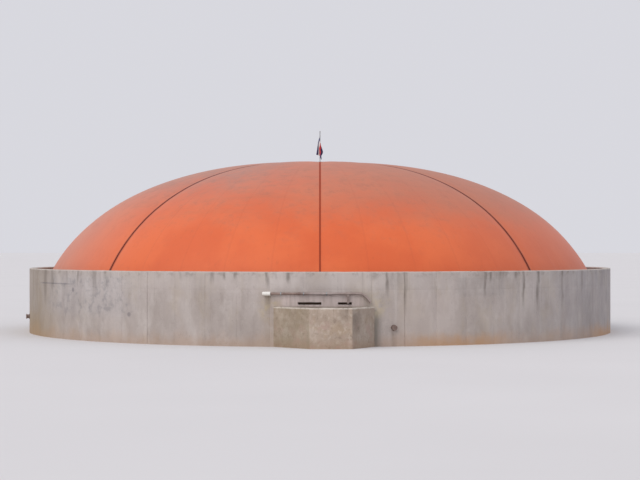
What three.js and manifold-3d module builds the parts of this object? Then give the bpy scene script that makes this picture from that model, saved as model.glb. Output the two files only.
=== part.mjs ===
// Biogas digester: a round concrete tank with a ring channel, under an inflated membrane dome.
// Millimetres, +Z up. The origin lies on the tank's axis at ground level.
// An azimuth is measured in degrees from -Y, where the overflow chamber stands, towards +X.
import * as THREE from "three";
import { mergeVertices } from "three/addons/utils/BufferGeometryUtils.js";
import Module from "manifold-3d";

// Outer wall and floor
const tankRadius = 12500;
const wallHeight = 2700;
const wallThickness = 300;
const wallPieces = 8;
const castingJoint = 14.2; // azimuth of the casting joint right of the chamber
const wallFacets = 12; // flat faces round each wall piece
const floorThickness = 250;

// Inner wall and the open channel round it
const channelWidth = 330;
const innerWallThickness = 260;
const innerWallDrop = 400; // from the rim down to the inner wall's top
const innerWallPieces = 4;

// Membrane dome: a superellipse in section, held down by belts
const domeTop = 7270;
const domeReach = 12430; // half width of the whole superellipse
const domeRise = 8600;
const domePower = 2.35;
const goreCount = 8;
const goreBulge = 55; // how far a gore swells between its belts
const goreAcross = 8; // facets from belt to belt
const goreAlong = 13; // facets from the crown to the foot
const membraneThickness = 40;
const crownRadius = 700;
const hemThickness = 12;
const hemOverhang = 130; // the hem lies on the inner wall's top

// Belts, clamp bars and crown
const beltWidth = 70;
const beltThickness = 6;
const beltLift = 1.4; // clears the swell of the gores under the belt's edges
const beltInnerRadius = 250;
const clampWidth = 80;
const clampThickness = 10;
const clampInset = 40; // from the membrane's foot to the clamp bar
const crownPlateRadius = 450;
const crownPlateThickness = 10;
const crownPlateSides = 48;

// Mast and flag
const mastRadius = 20;
const mastHeight = 1400;
const mastFootRadius = 90;
const mastFootThickness = 12;
const mastSides = 16;
const mastTopBevel = 6; // one bevel stands for the rounded top
const flagDrop = 980;
const flagWidth = 220;
const flagDepth = 90;
const flagBelowTop = 260;
// The limp flag's outline, in parts of its width away from the mast and of its drop
const flagOutline = [
  [0, 0],
  [-0.45, -0.12],
  [-1, -0.55],
  [-0.8, -1],
  [-0.1, -0.94],
  [0, -0.6],
];

// Overflow chamber: a front and two splayed sides, the left one splayed more
const chamberHeight = 1450;
const chamberFrontX = [-350, 1140]; // outer corners of the front
const chamberBackX = [-1560, 1870]; // outer faces of the sides, at the reach of 0
const chamberReach = 1200; // from the tank's face to the front
const chamberWall = 160;
const chamberFloor = 200;

// Overflow slots through the outer wall, from x to x
const slotBottom = 1520;
const slotTop = 1610;
const slotSpans = [
  [-800, 50],
  [650, 1150],
];

// Pipe on the outer wall
const pipeRadius = 45;
const pipeSides = 16;
const pipeRunSteps = 24;
const pipeHeight = 1915;
const pipeStandoff = 82; // from the wall's face to the pipe's axis
const pipeLeft = -1780;
const pipeRight = 1400;
const bendRun = 210; // from the bend's start to its corner
const bendSteps = 8;
const bendEndX = 1820;
const bendEndHeight = 1590;
const legX = 1010;
const legRadius = 38;
const legEndHeight = 1565;
const capRadius = 75;
const capLength = 300;
const capSides = 24;
const legBoreSides = 48;
const clipWidth = 40;
const clipThickness = 8;
const clipPlateHeight = 120;
const clipSides = 24;
const clipPlay = 1.2; // between the pipe and the clip's ring
const clipFacets = [6, 7, 8]; // the wall facets that carry a pipe clip

// Capped drain stubs low on the outer wall
const portCount = 4;
const portHeight = 680;
const portFlangeRadius = 110;
const portFlangeThickness = 18;
const portPipeRadius = 80;
const portCapRadius = 96;
const portLength = 150;
const portCapLength = 50;
const portSides = 24;

// Gap between neighbouring solids
const seat = 0.3;

// Sizes that follow from those above
const pieceAngle = 360 / wallPieces;
const facetAngle = pieceAngle / wallFacets;
const facetCount = wallPieces * wallFacets;
const wallInside = tankRadius - wallThickness;
const innerWallOutside = wallInside - channelWidth;
const innerWallInside = innerWallOutside - innerWallThickness;
const innerWallTop = wallHeight - innerWallDrop;
const goreAngle = 360 / goreCount;
const footHeight = innerWallTop + seat;
const domeBase = domeTop - domeRise;
const wallFace = tankRadius * Math.cos(THREE.MathUtils.degToRad(facetAngle / 2));

const concrete = new THREE.MeshStandardMaterial({ color: 0xa59d9b, roughness: 0.93 });
const stainedConcrete = new THREE.MeshStandardMaterial({ color: 0xa6958a, roughness: 0.95 });
const membrane = new THREE.MeshStandardMaterial({ color: 0xe0744b, roughness: 0.62 });
const webbing = new THREE.MeshStandardMaterial({ color: 0x6e2a22, roughness: 0.85 });
const galvanized = new THREE.MeshStandardMaterial({ color: 0x9a9c9c, roughness: 0.5, metalness: 0.9 });
const darkPlastic = new THREE.MeshStandardMaterial({ color: 0x4a3a34, roughness: 0.6 });
const whitePlastic = new THREE.MeshStandardMaterial({ color: 0xf0eee8, roughness: 0.45 });
const cloth = new THREE.MeshStandardMaterial({ color: 0xb63a44, roughness: 0.9 });

const wasm = await Module();
wasm.setup();

const digester = new THREE.Group();
const radians = THREE.MathUtils.degToRad;

function addPiece(name, geometry, material, azimuth = 0) {
  const piece = new THREE.Mesh(geometry, material);
  piece.name = name;
  piece.rotation.z = radians(azimuth);
  digester.add(piece);
  return piece;
}

// A closed geometry as a solid that can be joined and cut.
function solidOf(geometry) {
  const bare = geometry.clone();
  bare.deleteAttribute("normal");
  bare.deleteAttribute("uv");
  const merged = mergeVertices(bare, 1e-3);
  return new wasm.Manifold(
    new wasm.Mesh({
      numProp: 3,
      vertProperties: new Float32Array(merged.attributes.position.array),
      triVerts: new Uint32Array(merged.index.array),
    }),
  );
}

function geometryOf(solid) {
  const mesh = solid.getMesh();
  const geometry = new THREE.BufferGeometry();
  geometry.setAttribute("position", new THREE.BufferAttribute(mesh.vertProperties, 3));
  geometry.setIndex(new THREE.BufferAttribute(mesh.triVerts, 1));
  geometry.computeVertexNormals();
  return geometry;
}

// A block of ring wall between two radii and two heights, its middle at the given azimuth.
// The angle is narrowed so that neighbours keep the gap of the seat at the inner radius.
function ringBlock(inner, outer, bottom, top, angle, facets, azimuth = 0) {
  const half = radians(angle) / 2 - seat / 2 / inner;
  const middle = radians(azimuth - 90);
  const plan = new THREE.Shape();
  plan.absarc(0, 0, outer, middle - half, middle + half, false);
  plan.absarc(0, 0, inner, middle + half, middle - half, true);
  const block = new THREE.ExtrudeGeometry(plan, {
    depth: top - bottom,
    bevelEnabled: false,
    curveSegments: facets / 2,
  });
  return block.translate(0, 0, bottom);
}

function boxBetween(low, high) {
  const size = high.clone().sub(low);
  const middle = high.clone().add(low).multiplyScalar(0.5);
  return new THREE.BoxGeometry(size.x, size.y, size.z).translate(middle.x, middle.y, middle.z);
}

function prism(points, bottom, top) {
  const plan = new THREE.Shape(points);
  return new THREE.ExtrudeGeometry(plan, { depth: top - bottom, bevelEnabled: false }).translate(0, 0, bottom);
}

// Turns a profile of [radius, height] pairs round the Z axis.
function turned(profile, sides) {
  const points = profile.map(([radius, height]) => new THREE.Vector2(radius, height));
  return new THREE.LatheGeometry(points, sides).rotateX(Math.PI / 2);
}

// Tank floor and outer wall
function addTank() {
  const floor = new THREE.CylinderGeometry(
    wallInside - seat,
    wallInside - seat,
    floorThickness,
    facetCount,
    1,
    false,
    radians(castingJoint),
  );
  addPiece("tank_floor", floor.rotateX(Math.PI / 2).translate(0, 0, floorThickness / 2), concrete);

  const sides = ["front", "front_right", "right", "back_right", "back", "back_left", "left", "front_left"];
  const middle = castingJoint - pieceAngle / 2;
  const plain = ringBlock(wallInside, tankRadius, 0, wallHeight, pieceAngle, wallFacets);
  sides.forEach((side, index) => {
    const azimuth = middle + index * pieceAngle;
    if (index > 0) addPiece(`wall_${side}`, plain, concrete, azimuth);
  });

  // The front piece has the overflow slots.
  let front = solidOf(ringBlock(wallInside, tankRadius, 0, wallHeight, pieceAngle, wallFacets, middle));
  for (const [left, right] of slotSpans) {
    const low = new THREE.Vector3(left, -tankRadius - wallThickness, slotBottom);
    const high = new THREE.Vector3(right, -wallInside + wallThickness * 2, slotTop);
    front = front.subtract(solidOf(boxBetween(low, high)));
  }
  addPiece("wall_front", geometryOf(front), concrete);
}

// Inner wall, which carries the dome's foot
function addInnerWall() {
  const angle = 360 / innerWallPieces;
  const block = ringBlock(
    innerWallInside,
    innerWallOutside,
    floorThickness + seat,
    innerWallTop,
    angle,
    facetCount / innerWallPieces,
  );
  for (let index = 0; index < innerWallPieces; index++) {
    addPiece(`inner_wall_${index + 1}`, block, concrete, castingJoint + (index + 0.5) * angle);
  }
}

// A point of the dome's section, as radius and height. The turn is 0 at the top and grows outwards.
function domeSection(turn, inset = 0) {
  const power = 2 / domePower;
  return {
    radius: (domeReach - inset) * Math.sin(turn) ** power,
    height: domeBase + (domeRise - inset) * Math.cos(turn) ** power,
  };
}

const footTurn = Math.acos(((footHeight - domeBase) / domeRise) ** (domePower / 2));
const turnAtRadius = (radius) => Math.asin((radius / domeReach) ** (domePower / 2));
const crownTurn = turnAtRadius(crownRadius + seat);
const footRadius = domeSection(footTurn).radius;
const clampInside = footRadius + clampInset;

// Bends a subdivided box: x runs across, y runs from the foot up and z runs outwards, each 0 to 1.
function bentBox(across, along, place) {
  const box = new THREE.BoxGeometry(1, 1, 1, across, along, 1);
  const position = box.attributes.position;
  const point = new THREE.Vector3();
  for (let index = 0; index < position.count; index++) {
    point.fromBufferAttribute(position, index).addScalar(0.5);
    const placed = place(point.x, point.y, point.z);
    position.setXYZ(index, placed.x, placed.y, placed.z);
  }
  box.computeVertexNormals();
  return box;
}

function atAzimuth(radius, angle, height) {
  return new THREE.Vector3(radius * Math.sin(angle), -radius * Math.cos(angle), height);
}

// One gore of the dome, with its hem at the foot. The first row of facets is the hem.
function goreGeometry() {
  const rows = goreAlong + 1;
  return bentBox(goreAcross, rows, (across, along, outwards) => {
    const step = Math.round(along * rows);
    const climb = Math.max(step - 1, 0) / goreAlong;
    const turn = footTurn + (crownTurn - footTurn) * climb;
    const section = domeSection(turn, (1 - outwards) * membraneThickness);
    const side = across * 2 - 1;
    const swell = goreBulge * (1 - side * side) * Math.sin(Math.PI * climb);
    let radius = section.radius + swell * Math.sin(turn);
    let height = Math.max(section.height, footHeight) + swell * Math.cos(turn);
    if (step === 0) radius = footRadius + hemOverhang;
    if (step <= 1 && outwards > 0.5) height = footHeight + hemThickness;
    if (climb === 1) radius = crownRadius + seat;
    const half = radians(goreAngle) / 2 - seat / 2 / radius;
    return atAzimuth(radius, side * half, height);
  });
}

function addMembrane() {
  const gore = goreGeometry();
  for (let index = 0; index < goreCount; index++) {
    addPiece(`membrane_gore_${index + 1}`, gore, membrane, (index + 0.5) * goreAngle);
  }

  const edge = domeSection(turnAtRadius(crownRadius)).height;
  const underBelt = domeSection(turnAtRadius(beltInnerRadius)).height;
  const crown = turned(
    [
      [0, domeTop - membraneThickness],
      [crownRadius, edge - membraneThickness],
      [crownRadius, edge],
      [beltInnerRadius, underBelt],
      [0, domeTop],
    ],
    goreCount * goreAcross,
  );
  addPiece("membrane_crown", crown, membrane);
}

// Hold-down belts, from the clamp bar over the dome to the crown plate
function beltGeometry() {
  const rows = goreAlong + 2;
  const facetDip = (beltWidth / 2) * Math.tan(radians(goreAngle / goreAcross / 2));
  return bentBox(1, rows, (across, along, outwards) => {
    const step = Math.round(along * rows);
    const climb = Math.min(Math.max(step - 1, 0) / goreAlong, 1);
    let turn = footTurn + (crownTurn - footTurn) * climb;
    if (step === rows) turn = turnAtRadius(beltInnerRadius);
    const section = domeSection(turn);
    const lift = beltLift + outwards * beltThickness;
    let radius = section.radius + lift * Math.sin(turn);
    let height = section.height + lift * Math.cos(turn);
    if (step === 0) radius = clampInside - facetDip - seat;
    if (step <= 1) height = footHeight + hemThickness + lift;
    return new THREE.Vector3((across - 0.5) * beltWidth, -radius, height);
  });
}

function addBelts() {
  const belt = beltGeometry();
  for (let index = 0; index < goreCount; index++) {
    addPiece(`belt_${index + 1}`, belt, webbing, index * goreAngle);
  }
}

function addClampBars() {
  const angle = 360 / innerWallPieces;
  const bottom = footHeight + hemThickness + seat;
  const bar = ringBlock(
    clampInside,
    clampInside + clampWidth,
    bottom,
    bottom + clampThickness,
    angle,
    (goreCount * goreAcross) / innerWallPieces,
  );
  for (let index = 0; index < innerWallPieces; index++) {
    addPiece(`clamp_bar_${index + 1}`, bar, galvanized, (index + 0.5) * angle);
  }
}

// Crown plate over the belts' ends, with the mast and its flag
function addCrown() {
  const beltTop = domeSection(turnAtRadius(beltInnerRadius)).height + beltLift + beltThickness;
  const plateBottom = beltTop + seat;
  const plateTop = plateBottom + crownPlateThickness;
  const plate = turned(
    [
      [0, plateBottom],
      [crownPlateRadius, plateBottom],
      [crownPlateRadius, plateTop],
      [0, plateTop],
    ],
    crownPlateSides,
  );
  addPiece("crown_plate", plate, galvanized);

  const mastBottom = plateTop + seat;
  const mastTop = domeTop + mastHeight;
  const mast = turned(
    [
      [0, mastBottom],
      [mastFootRadius, mastBottom],
      [mastFootRadius, mastBottom + mastFootThickness],
      [mastRadius, mastBottom + mastFootThickness],
      [mastRadius, mastTop - mastRadius],
      [mastRadius - mastTopBevel, mastTop - mastTopBevel],
      [0, mastTop],
    ],
    mastSides,
  );
  addPiece("flag_mast", mast, galvanized);

  // The limp flag, as the shape that its folds fill
  const outline = new THREE.Shape(
    flagOutline.map(([across, down]) => new THREE.Vector2(across * flagWidth, down * flagDrop)),
  );
  const flag = new THREE.ExtrudeGeometry(outline, { depth: flagDepth, bevelEnabled: false });
  flag.translate(0, 0, -flagDepth / 2).rotateX(Math.PI / 2);
  const piece = addPiece("flag", flag, cloth);
  piece.position.set(-mastRadius - seat, 0, mastTop - flagBelowTop);
}

// Overflow chamber against the front of the tank
function addChamber() {
  // A point of the plan on the left (0) or right (1) side, set in from its outer face.
  const point = (side, reach, inset) => {
    const run = chamberFrontX[side] - chamberBackX[side];
    const across = (inset * Math.hypot(run, chamberReach)) / chamberReach;
    const x = chamberBackX[side] + (run * reach) / chamberReach + Math.sign(run) * across;
    return new THREE.Vector2(x, -tankRadius - reach);
  };
  const rootReach = -wallThickness; // drawn back into the tank's wall and then cut off
  const insideReach = chamberReach - chamberWall;
  const middle = castingJoint - pieceAngle / 2;
  const tank = solidOf(
    ringBlock(wallInside - wallThickness, tankRadius + seat, -seat, wallHeight, pieceAngle, wallFacets, middle),
  );

  const frontCorners = [
    point(0, chamberReach, 0),
    point(1, chamberReach, 0),
    point(1, insideReach, chamberWall),
    point(0, insideReach, chamberWall),
  ];
  addPiece("chamber_front", prism(frontCorners, 0, chamberHeight), stainedConcrete);

  for (const [side, name] of ["chamber_left", "chamber_right"].entries()) {
    const corners = [
      point(side, chamberReach - seat, 0),
      point(side, insideReach - seat, chamberWall),
      point(side, rootReach, chamberWall),
      point(side, rootReach, 0),
    ];
    const wall = solidOf(prism(corners, 0, chamberHeight)).subtract(tank);
    addPiece(name, geometryOf(wall), stainedConcrete);
  }

  const floorInset = chamberWall + seat;
  const floorReach = insideReach - seat;
  const floorCorners = [
    point(0, floorReach, floorInset),
    point(1, floorReach, floorInset),
    point(1, rootReach, floorInset),
    point(0, rootReach, floorInset),
  ];
  const floor = solidOf(prism(floorCorners, 0, chamberFloor)).subtract(tank);
  addPiece("chamber_floor", geometryOf(floor), stainedConcrete);
}

// A level arc that keeps its distance from the round wall, between two values of x
class WallCurve extends THREE.Curve {
  constructor(radius, left, right, height) {
    super();
    this.radius = radius;
    this.from = Math.asin(left / radius);
    this.to = Math.asin(right / radius);
    this.height = height;
  }

  getPoint(part, target = new THREE.Vector3()) {
    return target.copy(atAzimuth(this.radius, THREE.MathUtils.lerp(this.from, this.to, part), this.height));
  }
}

// The pipe along the outer wall, with its cap, drop leg, bend and clips
function addPipe() {
  const axisRadius = tankRadius + pipeStandoff;
  const onWall = (x, height) => new THREE.Vector3(x, -Math.sqrt(axisRadius ** 2 - x ** 2), height);
  const section = new THREE.Shape().absarc(0, 0, pipeRadius, 0, Math.PI * 2, false);
  const tube = (path, steps) =>
    new THREE.ExtrudeGeometry(section, {
      extrudePath: path,
      steps,
      bevelEnabled: false,
      curveSegments: pipeSides / 2,
    });

  const run = new WallCurve(axisRadius, pipeLeft, pipeRight, pipeHeight);
  addPiece("pipe_run", tube(run, pipeRunSteps), darkPlastic);

  // The bend starts along the run's own direction and ends on its slope.
  const start = onWall(pipeRight + seat, pipeHeight);
  const corner = new THREE.Vector3(-start.y, start.x, 0).setLength(bendRun).add(start);
  const bend = new THREE.QuadraticBezierCurve3(start, corner, onWall(bendEndX, bendEndHeight));
  addPiece("pipe_bend", tube(bend, bendSteps), darkPlastic);

  // The cap's own axis lies along the pipe's left end.
  const capAzimuth = THREE.MathUtils.radToDeg(Math.asin(pipeLeft / axisRadius));
  const cap = new THREE.CylinderGeometry(capRadius, capRadius, capLength, capSides).rotateZ(Math.PI / 2);
  cap.translate(-capLength / 2 - seat, -axisRadius, pipeHeight);
  addPiece("pipe_cap", cap, whitePlastic, capAzimuth);

  const leg = new THREE.CylinderGeometry(legRadius, legRadius, pipeHeight - legEndHeight, pipeSides)
    .rotateX(Math.PI / 2)
    .translate(0, -axisRadius, (pipeHeight + legEndHeight) / 2);
  const bore = new THREE.CylinderGeometry(pipeRadius + seat * 2, pipeRadius + seat * 2, capLength, legBoreSides)
    .rotateZ(Math.PI / 2)
    .translate(0, -axisRadius, pipeHeight);
  const legAzimuth = THREE.MathUtils.radToDeg(Math.asin(legX / axisRadius));
  addPiece("pipe_drop_leg", geometryOf(solidOf(leg).subtract(solidOf(bore))), darkPlastic, legAzimuth);

  // A clip is a ring round the pipe, with a foot on the middle of a wall facet.
  const reach = axisRadius - wallFace - seat;
  const ring = new THREE.CylinderGeometry(
    pipeRadius + clipThickness,
    pipeRadius + clipThickness,
    clipWidth,
    clipSides,
  ).rotateZ(Math.PI / 2);
  const hole = new THREE.CylinderGeometry(
    pipeRadius + clipPlay,
    pipeRadius + clipPlay,
    clipWidth * 2,
    clipSides,
  ).rotateZ(Math.PI / 2);
  const foot = new THREE.BoxGeometry(clipWidth, reach, clipWidth).translate(0, reach / 2, 0);
  const plate = new THREE.BoxGeometry(clipWidth, clipThickness, clipPlateHeight);
  plate.translate(0, reach - clipThickness / 2, 0);
  const whole = solidOf(ring).add(solidOf(foot)).add(solidOf(plate)).subtract(solidOf(hole));
  const clip = geometryOf(whole).translate(0, -axisRadius, pipeHeight);
  clipFacets.forEach((facet, index) => {
    const azimuth = castingJoint - pieceAngle + (facet + 0.5) * facetAngle;
    addPiece(`pipe_clip_${index + 1}`, clip, galvanized, azimuth);
  });
}

// Capped drain stubs, one on every second wall piece, on the middle of its last facet
function addPorts() {
  const profile = [
    [0, 0],
    [portFlangeRadius, 0],
    [portFlangeRadius, portFlangeThickness],
    [portPipeRadius, portFlangeThickness],
    [portPipeRadius, portLength - portCapLength],
    [portCapRadius, portLength - portCapLength],
    [portCapRadius, portLength],
    [0, portLength],
  ];
  const stub = turned(profile, portSides).rotateX(Math.PI / 2).translate(0, -wallFace - seat, portHeight);
  for (let index = 0; index < portCount; index++) {
    const azimuth = castingJoint - facetAngle / 2 + (index * 360) / portCount;
    addPiece(`drain_port_${index + 1}`, stub, darkPlastic, azimuth);
  }
}

addTank();
addInnerWall();
addMembrane();
addBelts();
addClampBars();
addCrown();
addChamber();
addPipe();
addPorts();

export default digester;
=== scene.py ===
"""The looks of a biogas digester: a round concrete tank under a belted membrane dome."""

from math import acos, asin, atan2, copysign, cos, degrees, hypot, pi, radians, sin, sqrt

import bmesh
import bpy
from mathutils import Matrix, Vector, noise


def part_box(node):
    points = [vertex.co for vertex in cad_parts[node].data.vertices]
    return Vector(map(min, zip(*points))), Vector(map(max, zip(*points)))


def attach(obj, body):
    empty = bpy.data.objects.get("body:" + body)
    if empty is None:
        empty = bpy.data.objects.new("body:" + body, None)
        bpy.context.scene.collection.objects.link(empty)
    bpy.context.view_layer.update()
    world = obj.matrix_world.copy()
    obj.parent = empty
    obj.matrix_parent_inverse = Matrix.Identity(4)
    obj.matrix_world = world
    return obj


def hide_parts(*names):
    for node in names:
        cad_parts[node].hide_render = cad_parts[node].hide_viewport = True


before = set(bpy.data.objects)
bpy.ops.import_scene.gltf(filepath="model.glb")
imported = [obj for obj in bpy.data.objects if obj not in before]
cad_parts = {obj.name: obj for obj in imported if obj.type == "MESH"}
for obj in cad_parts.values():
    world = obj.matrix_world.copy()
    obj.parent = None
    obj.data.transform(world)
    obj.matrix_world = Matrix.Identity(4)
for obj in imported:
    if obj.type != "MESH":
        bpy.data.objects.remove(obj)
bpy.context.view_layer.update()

# Sizes in metres, in the frame of the solids. An azimuth runs in degrees from -Y towards +X, and
# WALL_DEGREE is how long one of them is on the wall's face.
TANK_RADIUS = 12.5
WALL_DEGREE = radians(1) * TANK_RADIUS
WALL_THICKNESS = 0.3
WALL_PIECES = 8
CASTING_JOINT = 14.2
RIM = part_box("wall_back")[1].z
WALL_INSIDE = TANK_RADIUS - WALL_THICKNESS
INNER_WALL_OUTSIDE = 11.87
INNER_WALL_INSIDE = 11.61
INNER_WALL_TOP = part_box("inner_wall_1")[1].z
FLOOR_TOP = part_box("tank_floor")[1].z
WATER_LEVEL = 1.535
SLOT_HEIGHTS = (1.52, 1.61)
SLOT_SPANS = ((-0.8, 0.05), (0.65, 1.15))

# The marks that the wall's forms have left: upright boards, the joint between two lifts and the form ties
BOARDS = 8
BOARD_ANGLE = 360 / WALL_PIECES / BOARDS
JOINT_HALF = degrees(0.006 / TANK_RADIUS)
JOINT_DEPTH = 0.0025
EDGE_CHAMFER = degrees(0.016 / TANK_RADIUS)
EDGE_DEPTH = 0.014
LIFT_JOINT = 2.04
LIFT_DEPTH = 0.0015
TIE_RISE = 0.6

DOME_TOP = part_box("membrane_crown")[1].z
DOME_REACH = 12.43
DOME_RISE = 8.6
DOME_POWER = 2.35
DOME_BASE = DOME_TOP - DOME_RISE
GORES = 8
GORE_ANGLE = 360 / GORES
GORE_BULGE = 0.055
CROWN_RADIUS = 0.7
HEM = 0.004
HEM_REACH = 0.13
BELT_WIDTH = 0.07
BELT_THICKNESS = 0.005
BELT_PLAY = 0.0025

CHAMBER_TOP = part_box("chamber_front")[1].z
CHAMBER_REACH = 1.2
CHAMBER_FRONT_X = (-0.35, 1.14)
CHAMBER_BACK_X = (-1.56, 1.87)
CHAMBER_WALL = 0.16
CHAMBER_FRONT = -TANK_RADIUS - CHAMBER_REACH
CHAMBER_INSIDE = CHAMBER_REACH - CHAMBER_WALL
CHAMBER_LIQUID = 0.95

PIPE_RADIUS = 0.045
PIPE_HEIGHT = 1.915
PIPE_AXIS = TANK_RADIUS + 0.082

PORT_HEIGHT = 0.68
PORTS = 4
PORT_ANGLE = 360 / PORTS
PORT_AZIMUTHS = [CASTING_JOINT - 45 / 24 + PORT_ANGLE * index for index in range(PORTS)]

UP = Vector((0, 0, 1))


def tone(red, green, blue):
    """A colour as the eye sees it, 0 to 255, as linear light."""
    return tuple((part / 255) ** 2.2 for part in (red, green, blue)) + (1.0,)


def around(radius, azimuth, height):
    """A point round the tank's axis. The azimuth is in degrees."""
    turn = radians(azimuth)
    return Vector((radius * sin(turn), -radius * cos(turn), height))


def azimuth_of(point):
    return degrees(atan2(point.x, -point.y))


def chamber_x(side, reach, inset=0.0):
    """x of the chamber's left (0) or right (1) side at a reach from the tank, set in from its outer face."""
    run = CHAMBER_FRONT_X[side] - CHAMBER_BACK_X[side]
    across = inset * hypot(run, CHAMBER_REACH) / CHAMBER_REACH
    return CHAMBER_BACK_X[side] + run * reach / CHAMBER_REACH + copysign(across, run)


def spaced(first, last, steps):
    """Values in even steps, both ends among them."""
    return [first + (last - first) * k / steps for k in range(steps + 1)]


def ease(value, low, high):
    """0 at low, 1 at high and smooth between them."""
    part = min(max((value - low) / (high - low), 0.0), 1.0)
    return part * part * (3 - 2 * part)


# Shader expressions

def maths(operation, swapped=False):
    """A method that puts a socket and the values beside it through a Math node."""

    def method(self, *others):
        values = (*others, self) if swapped else (self, *others)
        return self.paint.node("ShaderNodeMath", {"operation": operation}, values)

    return method


class Socket:
    """A node's output, so that sums of sockets are written as Python expressions."""

    __add__ = __radd__ = maths("ADD")
    __sub__ = maths("SUBTRACT")
    __rsub__ = maths("SUBTRACT", swapped=True)
    __mul__ = __rmul__ = maths("MULTIPLY")
    __truediv__ = maths("DIVIDE")
    __pow__ = maths("POWER")
    __abs__ = maths("ABSOLUTE")
    fraction = maths("FRACT")
    floor = maths("FLOOR")
    least = maths("MINIMUM")
    most = maths("MAXIMUM")

    def __init__(self, paint, out):
        self.paint = paint
        self.out = out

    def __neg__(self):
        return self * -1

    def ease(self, low, high):
        """0 where the value is low, 1 where it is high. Low may be the larger one."""
        if low > high:
            return 1 - self.ease(high, low)
        settings = {"interpolation_type": "SMOOTHSTEP"}
        return self.paint.node("ShaderNodeMapRange", settings, {0: self, 1: low, 2: high, 3: 0.0, 4: 1.0})

    def band(self, start, full, fall, end):
        """Rises from start to full, stays 1, and falls off to the end."""
        return self.ease(start, full) * self.ease(end, fall)

    def near(self, centre, edge, core):
        """1 within the core's distance of the centre, and 0 past the edge's."""
        return abs(self - centre).ease(edge, core)

    def stir(self, soft, amount):
        """The value shifted up and down by a noise, so that what follows it has a ragged edge."""
        return self + (soft - 0.5) * amount


SHADER_INPUTS = {"gloss": "Specular IOR Level", "sheen": "Sheen Weight"}


class Paint:
    """One material on a Principled shader. Its colour is a ground with coats laid over it."""

    def __init__(self, name):
        self.material = bpy.data.materials.new(name)
        self.material.use_nodes = True
        self.tree = self.material.node_tree
        self.shader = self.tree.nodes["Principled BSDF"]
        self.place = self.node("ShaderNodeTexCoord", output="Object")
        self.xyz = self.parts(self.place)

    def feed(self, target, value):
        if isinstance(value, Socket):
            self.tree.links.new(value.out, target)
        else:
            target.default_value = value

    def node(self, kind, settings=None, inputs=(), output=0):
        """Any node: its settings come first, then the values or links of its sockets."""
        made = self.tree.nodes.new(kind)
        for setting, value in (settings or {}).items():
            setattr(made, setting, value)
        pairs = inputs.items() if isinstance(inputs, dict) else enumerate(inputs)
        for socket, value in pairs:
            self.feed(made.inputs[socket], value)
        return Socket(self, made.outputs[output])

    def parts(self, vector):
        first = self.node("ShaderNodeSeparateXYZ", inputs=(vector,))
        return [Socket(self, out) for out in first.out.node.outputs]

    def azimuth(self):
        x, y = self.xyz[:2]
        return self.node("ShaderNodeMath", {"operation": "ARCTAN2"}, (x, -y)) * degrees(1)

    def noise(self, scale, detail=3.0, roughness=0.5, warp=0.0):
        """Noise over the object. The scale is one number, or one for each axis."""
        place = self.place
        if isinstance(scale, tuple):
            place = self.node("ShaderNodeVectorMath", {"operation": "MULTIPLY"}, (place, scale))
            scale = 1.0
        inputs = {"Vector": place, "Scale": scale, "Detail": detail, "Roughness": roughness}
        return self.node("ShaderNodeTexNoise", inputs={**inputs, "Distortion": warp})

    def cells(self, scale):
        return self.node("ShaderNodeTexVoronoi", inputs={"Vector": self.place, "Scale": scale})

    def mix(self, amount, first, second):
        return self.node("ShaderNodeMix", {"data_type": "RGBA"}, {0: amount, 6: first, 7: second}, output=2)

    def ground(self, amount, first, second):
        """Starts the colour as a mix of two tones."""
        self.colour = self.mix(amount, tone(*first), tone(*second))

    def coat(self, amount, *over):
        """Lays a tone over the colour, fully where the amount is 1."""
        self.colour = self.mix(amount, self.colour, tone(*over))

    def finish(self, roughness, height=None, **fixed):
        """Feeds the shader. The height is in metres, and a fixed value is the same all over."""
        self.feed(self.shader.inputs["Base Color"], self.colour)
        self.feed(self.shader.inputs["Roughness"], roughness)
        if height is not None:
            bump = self.node("ShaderNodeBump", inputs={"Strength": 1.0, "Distance": 1.0, "Height": height})
            self.feed(self.shader.inputs["Normal"], bump)
        for quality, value in fixed.items():
            self.shader.inputs[SHADER_INPUTS[quality]].default_value = value
        return self.material


# Materials

def concrete_skin(paint, base, light, dark):
    """Cast concrete without stains: clouds, blotches, grain and blow holes. Returns its height."""
    clouds = paint.noise(0.35, 4, 0.55)
    blotches = paint.noise((1.6, 1.6, 1.12), 6, 0.66)
    mottle = paint.noise(7, 5, 0.7)
    grain = paint.noise(70, 2)
    spread = paint.noise(2.3, 3, 0.6)
    size = paint.noise(17, 1)
    pit = (paint.cells(30) - size * 0.34).ease(0.03, -0.05) * spread.ease(0.45, 0.6)
    hole = (paint.cells(9) - size * 0.11).ease(0.015, -0.045) * spread.ease(0.42, 0.52)
    pit = pit.most(hole)
    paint.ground(clouds.ease(0.36, 0.64) * 0.5 + 0.5, dark, base)
    paint.coat(blotches.ease(0.5, 0.72) * 0.55, *light)
    paint.coat(blotches.ease(0.5, 0.32) * 0.4, *dark)
    paint.coat(mottle.ease(0.5, 0.7) * 0.3, *dark)
    paint.coat(grain.ease(0.35, 0.75) * 0.2, *dark)
    paint.coat(pit * (size * 0.6 + 0.35), 96, 88, 82)
    height = blotches * 0.004 + mottle * 0.002 + grain * 0.0009 - pit * 0.005
    return height


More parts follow.
